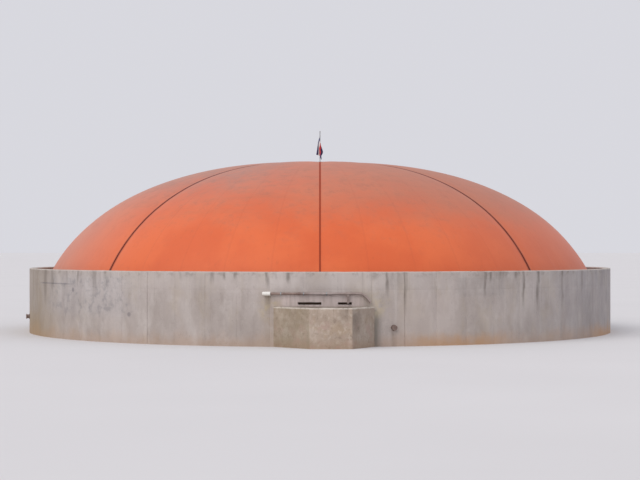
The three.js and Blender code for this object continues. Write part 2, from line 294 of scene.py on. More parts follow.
# Drips from the rim, between -76 and 76 degrees: azimuth, width, length and strength. They come round again
# on the sides and back.
DRIPS_SPAN = 152
DRIPS = (
    (-61.5, 0.34, 1.7, 0.75),
    (-58, 0.3, 1.3, 0.6),
    (-52, 0.14, 0.6, 0.45),
    (-48.4, 0.14, 0.8, 0.6),
    (-43.4, 0.34, 1.2, 0.5),
    (-40.3, 0.3, 0.9, 0.45),
    (-24.2, 0.1, 0.4, 0.4),
    (-18.3, 0.2, 0.6, 0.7),
    (-16.1, 0.1, 0.4, 0.7),
    (-14.1, 0.1, 0.35, 0.6),
    (-8.8, 0.12, 0.7, 0.95),
    (-7.3, 0.1, 0.35, 0.4),
    (-5.2, 0.16, 0.55, 0.85),
    (8.9, 0.2, 0.4, 0.35),
    (11.2, 0.13, 1.1, 0.85),
    (12.5, 0.55, 0.8, 0.42),
    (14.3, 0.14, 1.9, 0.6),
    (29.2, 0.12, 1.3, 0.8),
    (30.4, 0.13, 0.5, 0.9),
    (32.6, 0.5, 0.35, 0.5),
    (35.8, 0.16, 0.4, 0.85),
    (37.7, 0.13, 1.7, 0.95),
    (41.3, 0.17, 1.9, 1.0),
    (48.4, 0.14, 2.0, 0.65),
    (55.4, 0.2, 1.1, 0.5),
    (68.5, 0.3, 1.2, 0.4),
)

# Old spots on the left of the wall: azimuth and height
SPOTS = ((-49.9, 1.94), (-34.8, 1.08))


def brown_stretch(azimuth):
    return azimuth.band(-120, -95, -68, -50)


def weather_and_shade_wall(paint, azimuth, wander, wash):
    """Broad washes down the face, what the weather has done to each stretch of it, and painted shade on the
    right.
    """
    z = paint.xyz[2]
    paint.coat(wash.ease(0.5, 0.3) * 0.38, 146, 134, 126)
    paint.coat(wash.ease(0.5, 0.68) * 0.35, 208, 200, 194)
    film = paint.noise((1.1, 1.1, 0.55), 5, 0.65).ease(0.5, 0.7)
    paint.coat(film * 0.3, 182, 166, 142)

    # Under the rim, rain keeps the front paler
    rinsed = z.ease(1.85, 2.35) * azimuth.band(-46, -34, 15, 24) * (wander.ease(0.3, 0.6) * 0.4 + 0.6)
    paint.coat(rinsed * (azimuth.near(0, 13, 6) * 0.25 + 0.3), 210, 200, 194)

    # Towards the right the concrete is wet, and bluer, with painted shade over it, and one patch. On the left
    # it is brown.
    damp_and_shade = azimuth.band(24, 62, 120, 165) * (wander.ease(0.2, 0.8) * 0.4 + 0.6)
    paint.coat(damp_and_shade * 0.5, 130, 131, 140)
    patch = azimuth.band(23.3, 24.2, 32.8, 33.6) * z.band(1.74, 1.86, 2.44, 2.5)
    paint.coat(patch * 0.12, 116, 116, 118)
    paint.coat(brown_stretch(azimuth) * 0.5, 136, 124, 108)

    # Left of the middle it is bluer too, with mildew, the mark of an old level and two spots
    cool = azimuth.band(-64, -52, -38, -31) * z.near(1.75, 1.0, 0.5)
    paint.coat(cool * 0.25, 182, 180, 184)
    mildew = cool * paint.noise(3.2, 6, 0.7).ease(0.48, 0.64)
    paint.coat(mildew * 0.4, 116, 116, 120)
    mark = z.near(2.16, 0.04, 0.01) * azimuth.band(-66, -62, -53, -49)
    for at, level in SPOTS:
        across = (azimuth - at) * WALL_DEGREE
        mark = mark.most((across * across + (z - level) * (z - level)).ease(0.012, 0.002))
    paint.coat(mark * (wander.ease(0.3, 0.6) * 0.2 + 0.35), 104, 102, 108)

    # Round the drain port it is paler
    paint.coat(azimuth.near(18, 8, 3) * z.ease(2.2, 1.6) * 0.35, 200, 186, 178)


def casting_lines(paint, azimuth, wander):
    """Faint form joints, and the line between two lifts. Returns the joints."""
    board = (azimuth - CASTING_JOINT) / BOARD_ANGLE
    off_joint = abs(board - (board + 0.5).floor()) * (BOARD_ANGLE * WALL_DEGREE)
    joint = off_joint.ease(0.02, 0.006) * wander.ease(0.4, 0.65)
    lift_line = paint.xyz[2].near(LIFT_JOINT, 0.02, 0.006) * wander.ease(0.45, 0.65)
    paint.coat(joint * 0.16, 120, 111, 105)
    paint.coat(lift_line * 0.08, 120, 111, 105)
    return joint


def drip_down(paint, azimuth, threads, ragged):
    """Fine streaks all round, and the drips that stand out. Returns the drips."""
    z = paint.xyz[2]
    reach = paint.noise((1.1, 1.1, 0), 3)
    streak = threads.ease(0.55, 0.75) * (z + reach * 3.4).ease(2.6, 4.3)
    paint.coat(streak * 0.3, 118, 108, 100)
    paint.coat(threads.ease(0.45, 0.28) * z.ease(0.3, 1.6) * 0.25, 216, 208, 202)
    paint.coat(z.ease(2.1, 1.2) * 0.12, 148, 136, 126)
    waver = (paint.noise((2, 2, 1.4), 3) - 0.5) * 0.22
    round_again = ((azimuth / DRIPS_SPAN + 0.5).fraction() - 0.5) * DRIPS_SPAN
    drips = None
    for at, width, length, strength in DRIPS:
        across = abs((round_again - at) * WALL_DEGREE + waver)
        run = across.ease(width * 0.8, width * 0.1) * z.ease(RIM - length, RIM - length * 0.3) * strength
        drips = drips.most(run) if drips else run
    paint.coat(drips * (ragged * 0.65 + 0.35) * 0.7, 88, 80, 70)
    return drips


def weather_and_highlight_rim(paint, blotchy, wash):
    """Dark growth just under the rim, its pale edge, partly worn and partly painted highlight, and dirt and
    moss on top. Returns the growth.
    """
    z = paint.xyz[2]
    growth = z.ease(RIM - 0.3, RIM - 0.04) * paint.noise(3.4, 5, 0.65).ease(0.48, 0.68)
    paint.coat(growth * 0.38, 106, 97, 86)
    # The pale edge along the top: partly worn, partly painted highlight
    paint.coat(z.ease(RIM - 0.035, RIM - 0.012) * 0.8, 210, 202, 194)
    top = z.ease(RIM - 0.018, RIM - 0.01)
    paint.coat(top * blotchy * 0.5, 150, 140, 128)
    paint.coat(top * wash.ease(0.48, 0.34) * 0.5, 112, 106, 92)
    moss = paint.noise(11, 5, 0.75).ease(0.56, 0.66) * paint.noise(0.9, 3).ease(0.45, 0.6)
    paint.coat(top * moss * 0.75, 88, 88, 62)
    return growth


def splash_foot(paint, azimuth, wander, threads):
    """Earth splashed up the foot, thickest right of the chamber and in stretches on the sides and back."""
    z = paint.xyz[2]
    splash = z.stir(wander, 0.8).stir(threads, 0.3).ease(0.62, 0.0)
    stretches = paint.noise((0.22, 0.22, 0), 2).ease(0.4, 0.58) * 0.6 + 0.3
    bay = azimuth.near(24, 13, 3).most((abs(azimuth) - 54).ease(0, 14) * stretches)
    paint.coat(splash * (bay * 0.5 + 0.3), 186, 146, 110)
    paint.coat(z.stir(wander, 0.9).ease(1.4, 0.35) * brown_stretch(azimuth) * 0.5, 158, 134, 100)


def stains_and_painted_light_by_chamber(paint, wander, ragged, blotchy):
    """What the overflow has left on the wall round the chamber, with painted light under the pipe and painted
    shade beside the chamber.
    """
    x, y, z = paint.xyz
    front = y.ease(0, -2)
    spill = x.band(-2.3, -1.7, 1.2, 2.1) * front * z.stir(wander, 0.7).ease(2.0, 1.6)
    paint.coat(spill * (blotchy * 0.3 + 0.25), 166, 146, 126)
    slot_run = x.band(-0.9, -0.78, 0.0, 0.12).most(x.band(0.55, 0.67, 1.12, 1.24)) * front
    below = z.ease(SLOT_HEIGHTS[0] + 0.02, SLOT_HEIGHTS[0] - 0.03)
    paint.coat(slot_run * below * (ragged * 0.35 + 0.2), 118, 99, 83)
    # Paler under the pipe, down past the slots: painted light
    painted_light_under_pipe = x.band(-1.7, -1.2, 1.4, 1.75) * z.band(1.4, 1.5, 1.86, 1.98) * front
    paint.coat(painted_light_under_pipe * (ragged * 0.4 + 0.45), 222, 206, 200)
    cap_run = x.near(-1.88, 0.16, 0.05) * z.band(1.05, 1.7, 1.88, 1.95) * front
    paint.coat(cap_run * (ragged * 0.3 + 0.3), 122, 108, 86)
    # Darker right of the chamber, in the corner it makes with the wall: partly painted shade, partly damp
    beside = x.band(1.78, 1.88, 2.0, 2.32) * z.stir(wander, 0.5).ease(1.5, 1.25) * front
    paint.coat(beside * (ragged * 0.25 + 0.35), 88, 86, 76)
    lichen = x.near(2.15, 0.7, 0.1) * z.near(1.5, 0.7, 0.1)
    lichen = lichen.most(x.near(-1.85, 0.6, 0.08) * z.near(1.45, 0.7, 0.15)) * front
    paint.coat(lichen * wander.ease(0.35, 0.62) * blotchy * 0.5, 196, 180, 148)


def weep_under_ports(paint, azimuth, ragged):
    around_port = ((azimuth - PORT_AZIMUTHS[0]) / PORT_ANGLE + 0.5).fraction() - 0.5
    off_port = abs(around_port) * (PORT_ANGLE * WALL_DEGREE)
    below = paint.xyz[2].ease(PORT_HEIGHT + 0.12, PORT_HEIGHT - 0.1)
    paint.coat(off_port.ease(0.16, 0.03) * below * (ragged * 0.5 + 0.5) * 0.3, 116, 98, 86)


def tide_line(paint, ragged, stir, full, where=1.0):
    """The dark line of the channel's liquid. Returns it."""
    tide = paint.xyz[2].stir(ragged, stir).ease(1.94, full) * where
    paint.coat(tide * 0.8, 130, 108, 86)
    return tide


def plug_tie_holes(paint, azimuth):
    """Patched holes of the form ties, two across each board. Returns the plugs."""
    spacing = BOARD_ANGLE / 2
    across = (((azimuth - CASTING_JOINT) / spacing + 0.5).fraction() - 0.5) * (spacing * WALL_DEGREE)
    up = ((paint.xyz[2] - 0.05) / TIE_RISE).fraction() - 0.5
    off_hole = (across * across + up * up * TIE_RISE ** 2) ** 0.5
    plug = off_hole.ease(0.024, 0.018)
    paint.coat(plug * 0.25, 150, 143, 138)
    return plug


def wall_paint():
    """The outer wall: washed by rain, with drips from the rim and earth splashed up the foot."""
    paint = Paint("cast_wall")
    x, y = paint.xyz[:2]
    azimuth = paint.azimuth()
    height = concrete_skin(paint, (188, 177, 171), (204, 195, 189), (164, 153, 146))
    wander = paint.noise(1.3, 4, 0.6)
    blotchy = paint.noise(2.6, 5, 0.65).ease(0.38, 0.62)
    wash = paint.noise((1.5, 1.5, 0.5), 6, 0.62)
    threads = paint.noise((4.2, 4.2, 0.12), 5, 0.7)
    ragged = paint.noise((9, 9, 1.0), 4, 0.6).ease(0.3, 0.62)
    weather_and_shade_wall(paint, azimuth, wander, wash)
    joint = casting_lines(paint, azimuth, wander)
    drips = drip_down(paint, azimuth, threads, ragged)
    growth = weather_and_highlight_rim(paint, blotchy, wash)
    splash_foot(paint, azimuth, wander, threads)
    stains_and_painted_light_by_chamber(paint, wander, ragged, blotchy)
    weep_under_ports(paint, azimuth, ragged)
    inside = (x * x + y * y).ease((TANK_RADIUS - 0.1) ** 2, (TANK_RADIUS - 0.2) ** 2)
    tide = tide_line(paint, ragged, 0.25, 1.66, inside)
    plug = plug_tie_holes(paint, azimuth)
    height = height - plug * 0.002 - joint * 0.001
    return paint.finish(0.92 - drips * 0.1 - growth * 0.1 - tide * 0.4, height, gloss=0.3)


def inner_wall_paint():
    """The channel's sides: plain concrete with a dark tide line."""
    paint = Paint("channel_concrete")
    height = concrete_skin(paint, (160, 152, 146), (180, 173, 168), (128, 120, 114))
    tide = tide_line(paint, paint.noise((4, 4, 0.6), 4), 0.4, 1.62)
    return paint.finish(0.92 - tide * 0.4, height, gloss=0.3)


def shade_and_damp_sides(paint, wander, lumps):
    """The right side is in painted shade, and wet, darkest where it meets the front. The left side is a
    little duller.
    """
    x, _, z = paint.xyz
    # The whole right side is darker: painted shade
    right = x.ease(CHAMBER_FRONT_X[1] - 0.03, CHAMBER_FRONT_X[1] + 0.05)
    paint.coat(right * 0.38, 124, 116, 110)
    damp_and_shade = right * x.stir(lumps, 0.5).ease(1.66, 1.26) * z.stir(wander, 0.9).ease(0.4, 0.9)
    paint.coat(damp_and_shade * z.stir(lumps, 0.3).ease(1.42, 1.15) * 0.32, 84, 78, 72)
    corner = x.band(0.5, 0.85, CHAMBER_FRONT_X[1] - 0.2, CHAMBER_FRONT_X[1] - 0.04)
    corner = corner * z.stir(wander, 0.8).ease(0.7, 1.15)
    paint.coat(corner * 0.35, 126, 114, 104)
    left = x.ease(CHAMBER_FRONT_X[0] + 0.02, CHAMBER_FRONT_X[0] - 0.06)
    paint.coat(left * (wander.ease(0.3, 0.6) * 0.25 + 0.3), 132, 120, 98)


def depth_inside(paint):
    """Metres in from the chamber's inner faces."""
    x, y, _ = paint.xyz
    reach = -y - TANK_RADIUS
    depth = y + (TANK_RADIUS + CHAMBER_INSIDE)
    for side, way in ((0, 1), (1, -1)):
        back = chamber_x(side, 0, CHAMBER_WALL)
        slope = chamber_x(side, 1, CHAMBER_WALL) - back
        depth = depth.least((x - back - reach * slope) * way)
    return depth


def chamber_paint():
    """The overflow chamber: rough cream concrete, blotched and run with dark stains, with painted shade on
    its right side and a pale rim, partly worn and partly painted highlight.
    """
    paint = Paint("stained_concrete")
    z = paint.xyz[2]
    height = concrete_skin(paint, (192, 174, 158), (214, 201, 188), (156, 138, 122))
    wander = paint.noise(2.2, 4, 0.6)
    blotchy = paint.noise(2.6, 5, 0.65).ease(0.38, 0.62)
    lumps = paint.noise(4.3, 5, 0.68)
    paint.coat(wander.ease(0.5, 0.7) * 0.4, 176, 152, 124)
    paint.coat(lumps.ease(0.52, 0.66) * 0.5, 206, 192, 176)
    paint.coat(lumps.ease(0.46, 0.32) * 0.5, 124, 108, 92)
    rose = paint.noise(3.1, 3).ease(0.52, 0.66) * z.ease(1.2, 0.7)
    paint.coat(rose * 0.4, 190, 158, 148)
    runs = paint.noise((7, 7, 0.8), 4, 0.6)
    fall = runs.ease(0.52, 0.72) * (z + wander * 0.9).ease(1.2, 1.9)
    paint.coat(fall * 0.55, 104, 90, 76)

    shade_and_damp_sides(paint, wander, lumps)
    foot = z.stir(wander, 0.5).ease(0.4, 0.02)
    paint.coat(foot * 0.4, 150, 122, 96)
    inside = z.stir(wander, 0.25).ease(1.2, 0.98) * depth_inside(paint).ease(-0.07, -0.03)
    paint.coat(inside * 0.8, 70, 56, 45)
    # A pale band along the top: partly worn, partly painted highlight
    rim = z.stir(lumps, 0.06).ease(CHAMBER_TOP - 0.07, CHAMBER_TOP - 0.02)
    paint.coat(rim * 0.75, 218, 210, 198)
    top = z.ease(CHAMBER_TOP - 0.024, CHAMBER_TOP - 0.015)
    paint.coat(top * blotchy * 0.6, 150, 134, 116)
    paint.coat(top * lumps.ease(0.5, 0.38) * 0.6, 98, 90, 74)
    return paint.finish(0.93, height * 1.6 + lumps * 0.006, gloss=0.3)


def off_line(azimuth, radius, angle):
    """Metres to the nearest of the lines that run up the dome at every multiple of an angle."""
    return abs((azimuth / angle + 0.5).fraction() - 0.5) * radius * radians(angle)


def weld_seams(paint, azimuth, radius):
    """Welded seams: five strips to a gore low down, and two above the ring seam. Returns them."""
    ring_radius = 4.2
    fine = radius.ease(ring_radius - 0.005, ring_radius + 0.005)
    to_seam = fine * off_line(azimuth, radius, GORE_ANGLE / 5)
    to_seam = to_seam + (1 - fine) * off_line(azimuth, radius, GORE_ANGLE / 2)
    to_seam = to_seam.least(abs(radius - ring_radius))
    seam = to_seam.ease(0.03, 0.024)
    paint.coat(seam * 0.07, 190, 76, 40)
    paint.coat(seam * to_seam.ease(0.016, 0.024) * 0.15, 150, 66, 40)
    return seam


def membrane_paint():
    """Coated fabric: orange and free of dust low down, dusty and mottled on top, with welded seams, painted
    shade on the right and along the belts, and a painted sky reflection on the left.
    """
    paint = Paint("dome_membrane")
    x, y, z = paint.xyz
    azimuth = paint.azimuth()
    radius = (x * x + y * y) ** 0.5
    clouds = paint.noise(0.4, 4, 0.6)
    mottle = paint.noise(1.9, 7, 0.7)
    specks = paint.noise(13, 5, 0.72)
    paint.ground(clouds.ease(0.35, 0.65), (221, 97, 46), (229, 106, 53))

    # Painted shade on the right side and round the back, and a painted sky reflection on the left
    painted_shade_right = azimuth.band(12, 60, 120, 170)
    paint.coat(painted_shade_right * 0.55, 184, 94, 62)
    painted_reflection_left = azimuth.band(-150, -120, -74, -36)
    paint.coat(painted_reflection_left * 0.42, 180, 152, 136)

    # Dust that settles on the flat top, thinner where rain has run off
    top = z.stir(clouds, 1.6).stir(mottle, 1.2).ease(3.9, 7.4)
    rain = paint.noise((2.2, 2.2, 0.3), 5, 0.65)
    dust = top * (rain.ease(0.25, 0.7) * 0.3 + 0.7)
    paint.coat(dust * 0.85, 196, 126, 102)
    # Darker up high, from the front round the right side
    darker_up_right = azimuth.band(-30, 34, 120, 170) * z.stir(clouds, 1.5).ease(4.2, 5.6)
    paint.coat(darker_up_right * 0.34, 152, 108, 88)
    mould = mottle.ease(0.42, 0.75) * specks.ease(0.3, 0.7) * z.stir(clouds, 1.5).ease(3.4, 6.4)
    paint.coat(mould * 0.5, 146, 102, 82)
    haze = mottle.ease(0.52, 0.7) * z.ease(2.5, 4.5)
    paint.coat(haze * 0.22, 190, 98, 70)

    # Painted shade along the belts, but none along the front one
    front_belt = abs(x).ease(1.5, 0.5) * y.ease(0, -1)
    darkening = off_line(azimuth, radius, GORE_ANGLE).ease(0.13, 0.035) * (1 - front_belt) * (specks * 0.5 + 0.35)
    paint.coat(darkening, 116, 62, 46)

    # The upper left has weathered greyer
    weathered = azimuth.band(-150, -70, -34, -2) * z.stir(clouds, 1.4).ease(5.0, 6.7)
    paint.coat(weathered * (mottle.ease(0.3, 0.7) * 0.2 + 0.22), 140, 128, 124)

    # Long soft marks where puddles have dried, and thin runs under them
    marks = paint.noise((0.3, 0.3, 3.2), 5, 0.6)
    mark = marks.ease(0.48, 0.78) * z.ease(3.8, 5.6)
    paint.coat(mark * 0.22, 158, 108, 84)
    runs = paint.noise((5.5, 5.5, 0.3), 4, 0.65).ease(0.56, 0.78)
    paint.coat(runs * z.ease(7.0, 4.0) * 0.2, 172, 82, 50)

    seam = weld_seams(paint, azimuth, radius)
    weave = paint.noise(240, 1)
    shape = seam * 0.0012 + weave * 0.0004 + mottle * 0.003 + clouds * 0.02
    return paint.finish(0.52 + dust * 0.28 + specks * 0.08, shape, gloss=0.5, sheen=0.12)


def webbing_paint():
    """Woven belt, read along its own length through its UV map."""
    paint = Paint("belt_webbing")
    across, along = paint.parts(paint.node("ShaderNodeTexCoord", output="UV"))[:2]
    rib = abs((across * 14).fraction() - 0.5) * 2
    pick = abs((along * 160 + (across * 7).floor() * 0.5).fraction() - 0.5) * 2
    paint.ground(rib.ease(0.2, 0.9), (92, 34, 28), (122, 50, 40))
    stripe = abs(across - 0.5).ease(0.3, 0.36) * across.near(0.5, 0.44, 0.38)
    paint.coat(stripe * 0.5, 66, 26, 24)
    fade = paint.noise(1.6, 4).ease(0.4, 0.7)
    paint.coat(fade * 0.3, 148, 84, 68)
    x, y = paint.xyz[:2]
    front = abs(x).ease(0.5, 0.1) * y.ease(0, -1)
    paint.coat(front * 0.7, 176, 76, 48)
    return paint.finish(0.86, rib * 0.0006 + pick * 0.0003, gloss=0.25)


def steel_paint():
    """Hot-dip galvanized steel: spangle, white bloom and a little rust."""
    paint = Paint("galvanized")
    spangle = paint.cells(60)
    bloom = paint.noise(7, 4, 0.6)
    paint.ground(spangle.ease(0.1, 0.6), (138, 141, 143), (168, 171, 172))
    paint.coat(bloom.ease(0.5, 0.75) * 0.5, 190, 189, 184)
    rust = paint.noise(4.5, 5, 0.7).ease(0.58, 0.7)
    paint.coat(rust * 0.7, 122, 74, 46)
    metal = (1 - rust) * 0.75
    paint.feed(paint.shader.inputs["Metallic"], metal)
    return paint.finish(0.45 + rust * 0.4 + bloom * 0.1, spangle * 0.0004 + rust * 0.0005)


def pipe_paint():
    """Old dark plastic pipe, chalked pale on top."""
    paint = Paint("dark_plastic")
    x, _, z = paint.xyz
    chalk = paint.noise(5, 4, 0.6)
    scuff = paint.noise((3, 20, 20), 3)
    paint.ground(chalk.ease(0.35, 0.7), (122, 101, 92), (154, 134, 124))
    paint.coat(scuff.ease(0.6, 0.75) * 0.4, 170, 150, 138)
    bleached = x.ease(-0.9, -0.1) * (1 - x.ease(0.3, 0.9) * 0.45) * z.ease(1.2, 1.4)
    paint.coat(bleached * (chalk * 0.5 + 0.4), 188, 176, 172)
    # Dirt settled low down
    darkening = paint.noise(14, 4, 0.65).ease(0.35, 0.65) * z.ease(1.2, 1.0)
    paint.coat(darkening * 0.7, 112, 98, 92)
    return paint.finish(0.5 + chalk * 0.25, scuff * 0.0005, gloss=0.4)


def cap_paint():
    """White plastic with rain dirt."""
    paint = Paint("white_plastic")
    dirt = paint.noise(9, 4, 0.6)
    low = paint.xyz[2].ease(PIPE_HEIGHT + 0.02, PIPE_HEIGHT - 0.09)
    paint.ground(dirt.ease(0.45, 0.7) * 0.4, (240, 237, 229), (206, 198, 182))
    paint.coat(low * 0.45, 176, 162, 140)
    return paint.finish(0.38 + dirt * 0.2, dirt * 0.0004)


def flag_paint():
    """Cloth in four bands, with its weave, read through the cut's own UV map."""
    paint = Paint("flag_bands")
    across, along = paint.parts(paint.node("ShaderNodeTexCoord", output="UV"))[:2]
    paint.ground(along.ease(0.335, 0.355), (66, 60, 104), (200, 52, 62))
    paint.coat(along.ease(0.645, 0.665), 226, 222, 218)
    paint.coat(along.ease(0.815, 0.835), 68, 70, 116)
    thread = abs((across * 220).fraction() - 0.5) + abs((along * 150).fraction() - 0.5)
    soil = paint.noise(12, 3).ease(0.45, 0.75)
    paint.coat(soil * 0.2, 150, 134, 122)
    return paint.finish(0.88, thread * 0.0003, sheen=0.2)


def effluent_paint():
    """Brown liquid with drifting scum."""
    paint = Paint("brown_effluent")
    swirl = paint.noise(1.4, 4, 0.6, 1.5)
    scum = paint.noise(5.5, 5, 0.65, 1.0).ease(0.54, 0.68) * swirl.ease(0.42, 0.62)
    paint.ground(swirl.ease(0.35, 0.7), (62, 44, 34), (88, 64, 48))
    paint.coat(scum * 0.75, 158, 130, 100)
    ripple = paint.noise(6, 2, 0.5, 0.4)
    return paint.finish(0.07 + scum * 0.6, ripple * 0.004 + scum * 0.003)


def floor_paint():
    paint = Paint("studio_floor")
    soft = paint.noise(0.12, 2)
    paint.ground(soft, (216, 214, 214), (222, 220, 220))
    return paint.finish(0.9, gloss=0.1)


# Mesh helpers

def chain(bm, points, closed=False):
    """Vertices joined by edges, as geometry to spin or extrude."""
    verts = [bm.verts.new(point) for point in points]
    ends = verts[1:] + verts[:1] if closed else verts[1:]
    return verts + [bm.edges.new(pair) for pair in zip(verts, ends)]


def spin_through(bm, section, azimuths, closed=True):
    """Sweeps a section of (radius, height) pairs round the tank's axis, with a column at each azimuth."""
    ring = chain(bm, [around(radius, azimuths[0], height) for radius, height in section], closed)
    for before, after in zip(azimuths, azimuths[1:]):
        step = radians(after - before)
        swept = bmesh.ops.spin(bm, geom=ring, cent=(0, 0, 0), axis=(0, 0, 1), angle=step, steps=1)
        ring = swept["geom_last"]


def verts_in(items):
    return [item for item in items if isinstance(item, bmesh.types.BMVert)]


def edges_in(items):
    return [item for item in items if isinstance(item, bmesh.types.BMEdge)]


def open_edges(bm):
    return [edge for edge in bm.edges if edge.is_boundary]


def fill_ends(bm):
    bmesh.ops.holes_fill(bm, edges=open_edges(bm))


def put_in_scene(name, data):
    made = bpy.data.objects.new(name, data)
    bpy.context.scene.collection.objects.link(made)
    return made


def add_object(name, bm, material):
    mesh = bpy.data.meshes.new(name)
    bm.to_mesh(mesh)
    bm.free()
    mesh.materials.append(material)
    return put_in_scene(name, mesh)


def piece(name, bm, material, nodes=(), sharp=32):
    """Makes the mesh a piece that rides on the tank, has a finish and stands for its nodes."""
    bmesh.ops.recalc_face_normals(bm, faces=bm.faces)
    for face in bm.faces:
        face.smooth = True
    for edge in bm.edges:
        edge.smooth = edge.is_manifold and edge.calc_face_angle(0) < radians(sharp)
    made = add_object(name, bm, material)
    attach(made, "root")
    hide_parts(*nodes)
    return made


def turned(bm, section, sides, seat, closed=False):
    """A section turned round a frame's Z axis: from the axis out and back to it, or closed for a ring."""
    before = set(bm.verts)
    ring = chain(bm, [Vector((radius, 0, height)) for radius, height in section], closed)
    bmesh.ops.spin(bm, geom=ring, cent=(0, 0, 0), axis=(0, 0, 1), angle=2 * pi, steps=sides, use_merge=True)
    made = [vert for vert in bm.verts if vert not in before]
    bmesh.ops.remove_doubles(bm, verts=made, dist=1e-5)
    made = [vert for vert in bm.verts if vert not in before]
    bmesh.ops.transform(bm, matrix=seat, verts=made)


def ring_section(inner, outer, low, high, rounding):
    """A rectangle between two radii and two heights, its outer corners cut off."""
    section = [(inner, low), (outer - rounding, low), (outer, low + rounding), (outer, high - rounding)]
    return section + [(outer - rounding, high), (inner, high)]


def facing(place, normal, along=UP):
    """A frame at a place whose Z is the normal, and whose X lies square to both directions."""
    third = normal.normalized()
    first = along.cross(third)
    if first.length < 1e-6:
        first = Vector((1, 0, 0))
    first.normalize()
    second = third.cross(first)
    turn = Matrix((first, second, third)).transposed().to_4x4()
    return Matrix.Translation(place) @ turn


def upright(radius, azimuth, height):
    """A frame at a place round the tank's axis, its Z up and its X round the tank."""
    return facing(around(radius, azimuth, height), UP, around(1, azimuth, 0))


def on_wall(radius, azimuth, height):
    """A frame at a place on the wall's face, its Z away from the tank."""
    return facing(around(radius, azimuth, height), around(1, azimuth, 0))


def spread_round(seat, count, place, shift=0.0):
    """Frames at a place, turned in equal steps round another frame's Z axis."""
    turns = [Matrix.Rotation(2 * pi * (k + shift) / count, 4, "Z") for k in range(count)]
    return [seat @ turn @ Matrix.Translation(place) for turn in turns]


def heading_at(point):
    """Level, and square to the line from the tank's axis, towards growing azimuths."""
    return Vector((-point.y, point.x, 0)).normalized()


def add_cylinder(bm, sides, radius, length, middle):
    bmesh.ops.create_cone(
        bm, cap_ends=True, segments=sides, radius1=radius, radius2=radius, depth=length, matrix=middle
    )


def add_bolt(bm, seat, size):
    """A washer, a hexagon nut and the end of its stud, standing on a frame. Size is the thread's radius."""
    for sides, radius, bottom, top in (
        (12, size * 2.2, 0.0, size * 0.35),
        (6, size * 1.75, size * 0.35, size * 2.0),
        (8, size, size * 2.0, size * 3.1),
    ):
        middle = seat @ Matrix.Translation((0, 0, (bottom + top) / 2))
        add_cylinder(bm, sides, radius, top - bottom, middle)


def add_bolt_circle(bm, radius, height, count, size):
    for index in range(count):
        add_bolt(bm, upright(radius, (index + 0.5) * 360 / count, height), size)


def soften(bm, edges, rounding):
    """Rounds edges off."""
    bmesh.ops.bevel(bm, geom=edges, offset=rounding, segments=2, profile=0.5, affect="EDGES", material=-1)


def add_block(bm, seat, size, rounding):
    """A rounded block whose base stands on a frame."""
    matrix = seat @ Matrix.Translation((0, 0, size[2] / 2)) @ Matrix.Diagonal((*size, 1))
    made = bmesh.ops.create_cube(bm, size=1, matrix=matrix)["verts"]
    soften(bm, list({edge for vert in made for edge in vert.link_edges}), rounding)


def sweep(bm, section, frames):
    """Carries a closed section, points in X and Y, along a list of frames. Returns the rings of vertices."""
    ring = chain(bm, [frames[0] @ Vector((x, y, 0)) for x, y in section], closed=True)
    rings = [verts_in(ring)]
    edges = edges_in(ring)
    for before, after in zip(frames, frames[1:]):
        grown = bmesh.ops.extrude_edge_only(bm, edges=edges)["geom"]
        verts = verts_in(grown)
        bmesh.ops.transform(bm, matrix=after @ before.inverted(), verts=verts)
        edges = [edge for edge in edges_in(grown) if all(vert in verts for vert in edge.verts)]
        rings.append(verts)
    return rings


def circle(radius, sides):
    return [(radius * cos(2 * pi * k / sides), radius * sin(2 * pi * k / sides)) for k in range(sides)]


def frames_along(points):
    """A frame at each point of a path, its Z along the path and its X level where it can be."""
    frames = []
    for index, point in enumerate(points):
        ahead = points[min(index + 1, len(points) - 1)]
        behind = points[max(index - 1, 0)]
        frames.append(facing(point, ahead - behind))
    return frames


# Outer wall

def wall_section():
    """The wall's section, from the foot up the outer face, over the rim and down the inside."""
    heights = [0.0, 0.04, 0.16, 0.3, 0.45, 0.6, 0.75, 0.9, 1.05, 1.2, 1.35, 1.44, *SLOT_HEIGHTS]
    heights += [1.7, 1.81, 1.92, LIFT_JOINT - 0.008, LIFT_JOINT, LIFT_JOINT + 0.008]
    heights += [2.15, 2.25, 2.35, 2.45, 2.55, 2.63]
    outer = [(TANK_RADIUS, height) for height in heights]
    chamfer = 0.022
    rim = [(TANK_RADIUS, RIM - chamfer), (TANK_RADIUS - chamfer * 0.3, RIM - chamfer * 0.3)]
    rim += [(TANK_RADIUS - chamfer, RIM)]
    rim += [(radius, RIM) for radius in spaced(TANK_RADIUS, WALL_INSIDE, 5)[1:-1]]
    rim += [(WALL_INSIDE + chamfer, RIM), (WALL_INSIDE, RIM - chamfer)]
    inner = [(WALL_INSIDE, height) for height in (2.5, 2.3, 2.1, 1.9, *SLOT_HEIGHTS[::-1], 1.3, 0.7, 0.0)]
    return outer + rim + inner


def slot_azimuths():
    return [tuple(degrees(asin(x / TANK_RADIUS)) for x in span) for span in SLOT_SPANS]


def wall_columns(first, slots):
    """Azimuths of the columns of one wall piece: close together at its form joints and ends."""
    last = first + 360 / WALL_PIECES
    gap = degrees(0.00015 / TANK_RADIUS)
    columns = {first + gap, first + EDGE_CHAMFER, last - EDGE_CHAMFER, last - gap}
    for board in range(BOARDS):
        start = first + board * BOARD_ANGLE
        columns |= {start + BOARD_ANGLE * step / 6 for step in range(1, 6)}
        if board:
            columns |= {start - JOINT_HALF, start, start + JOINT_HALF}
    edges = [edge for slot in slots for edge in slot]
    columns = {column for column in columns if all(abs(column - edge) > 0.2 for edge in edges)}
    return sorted(columns | set(edges))


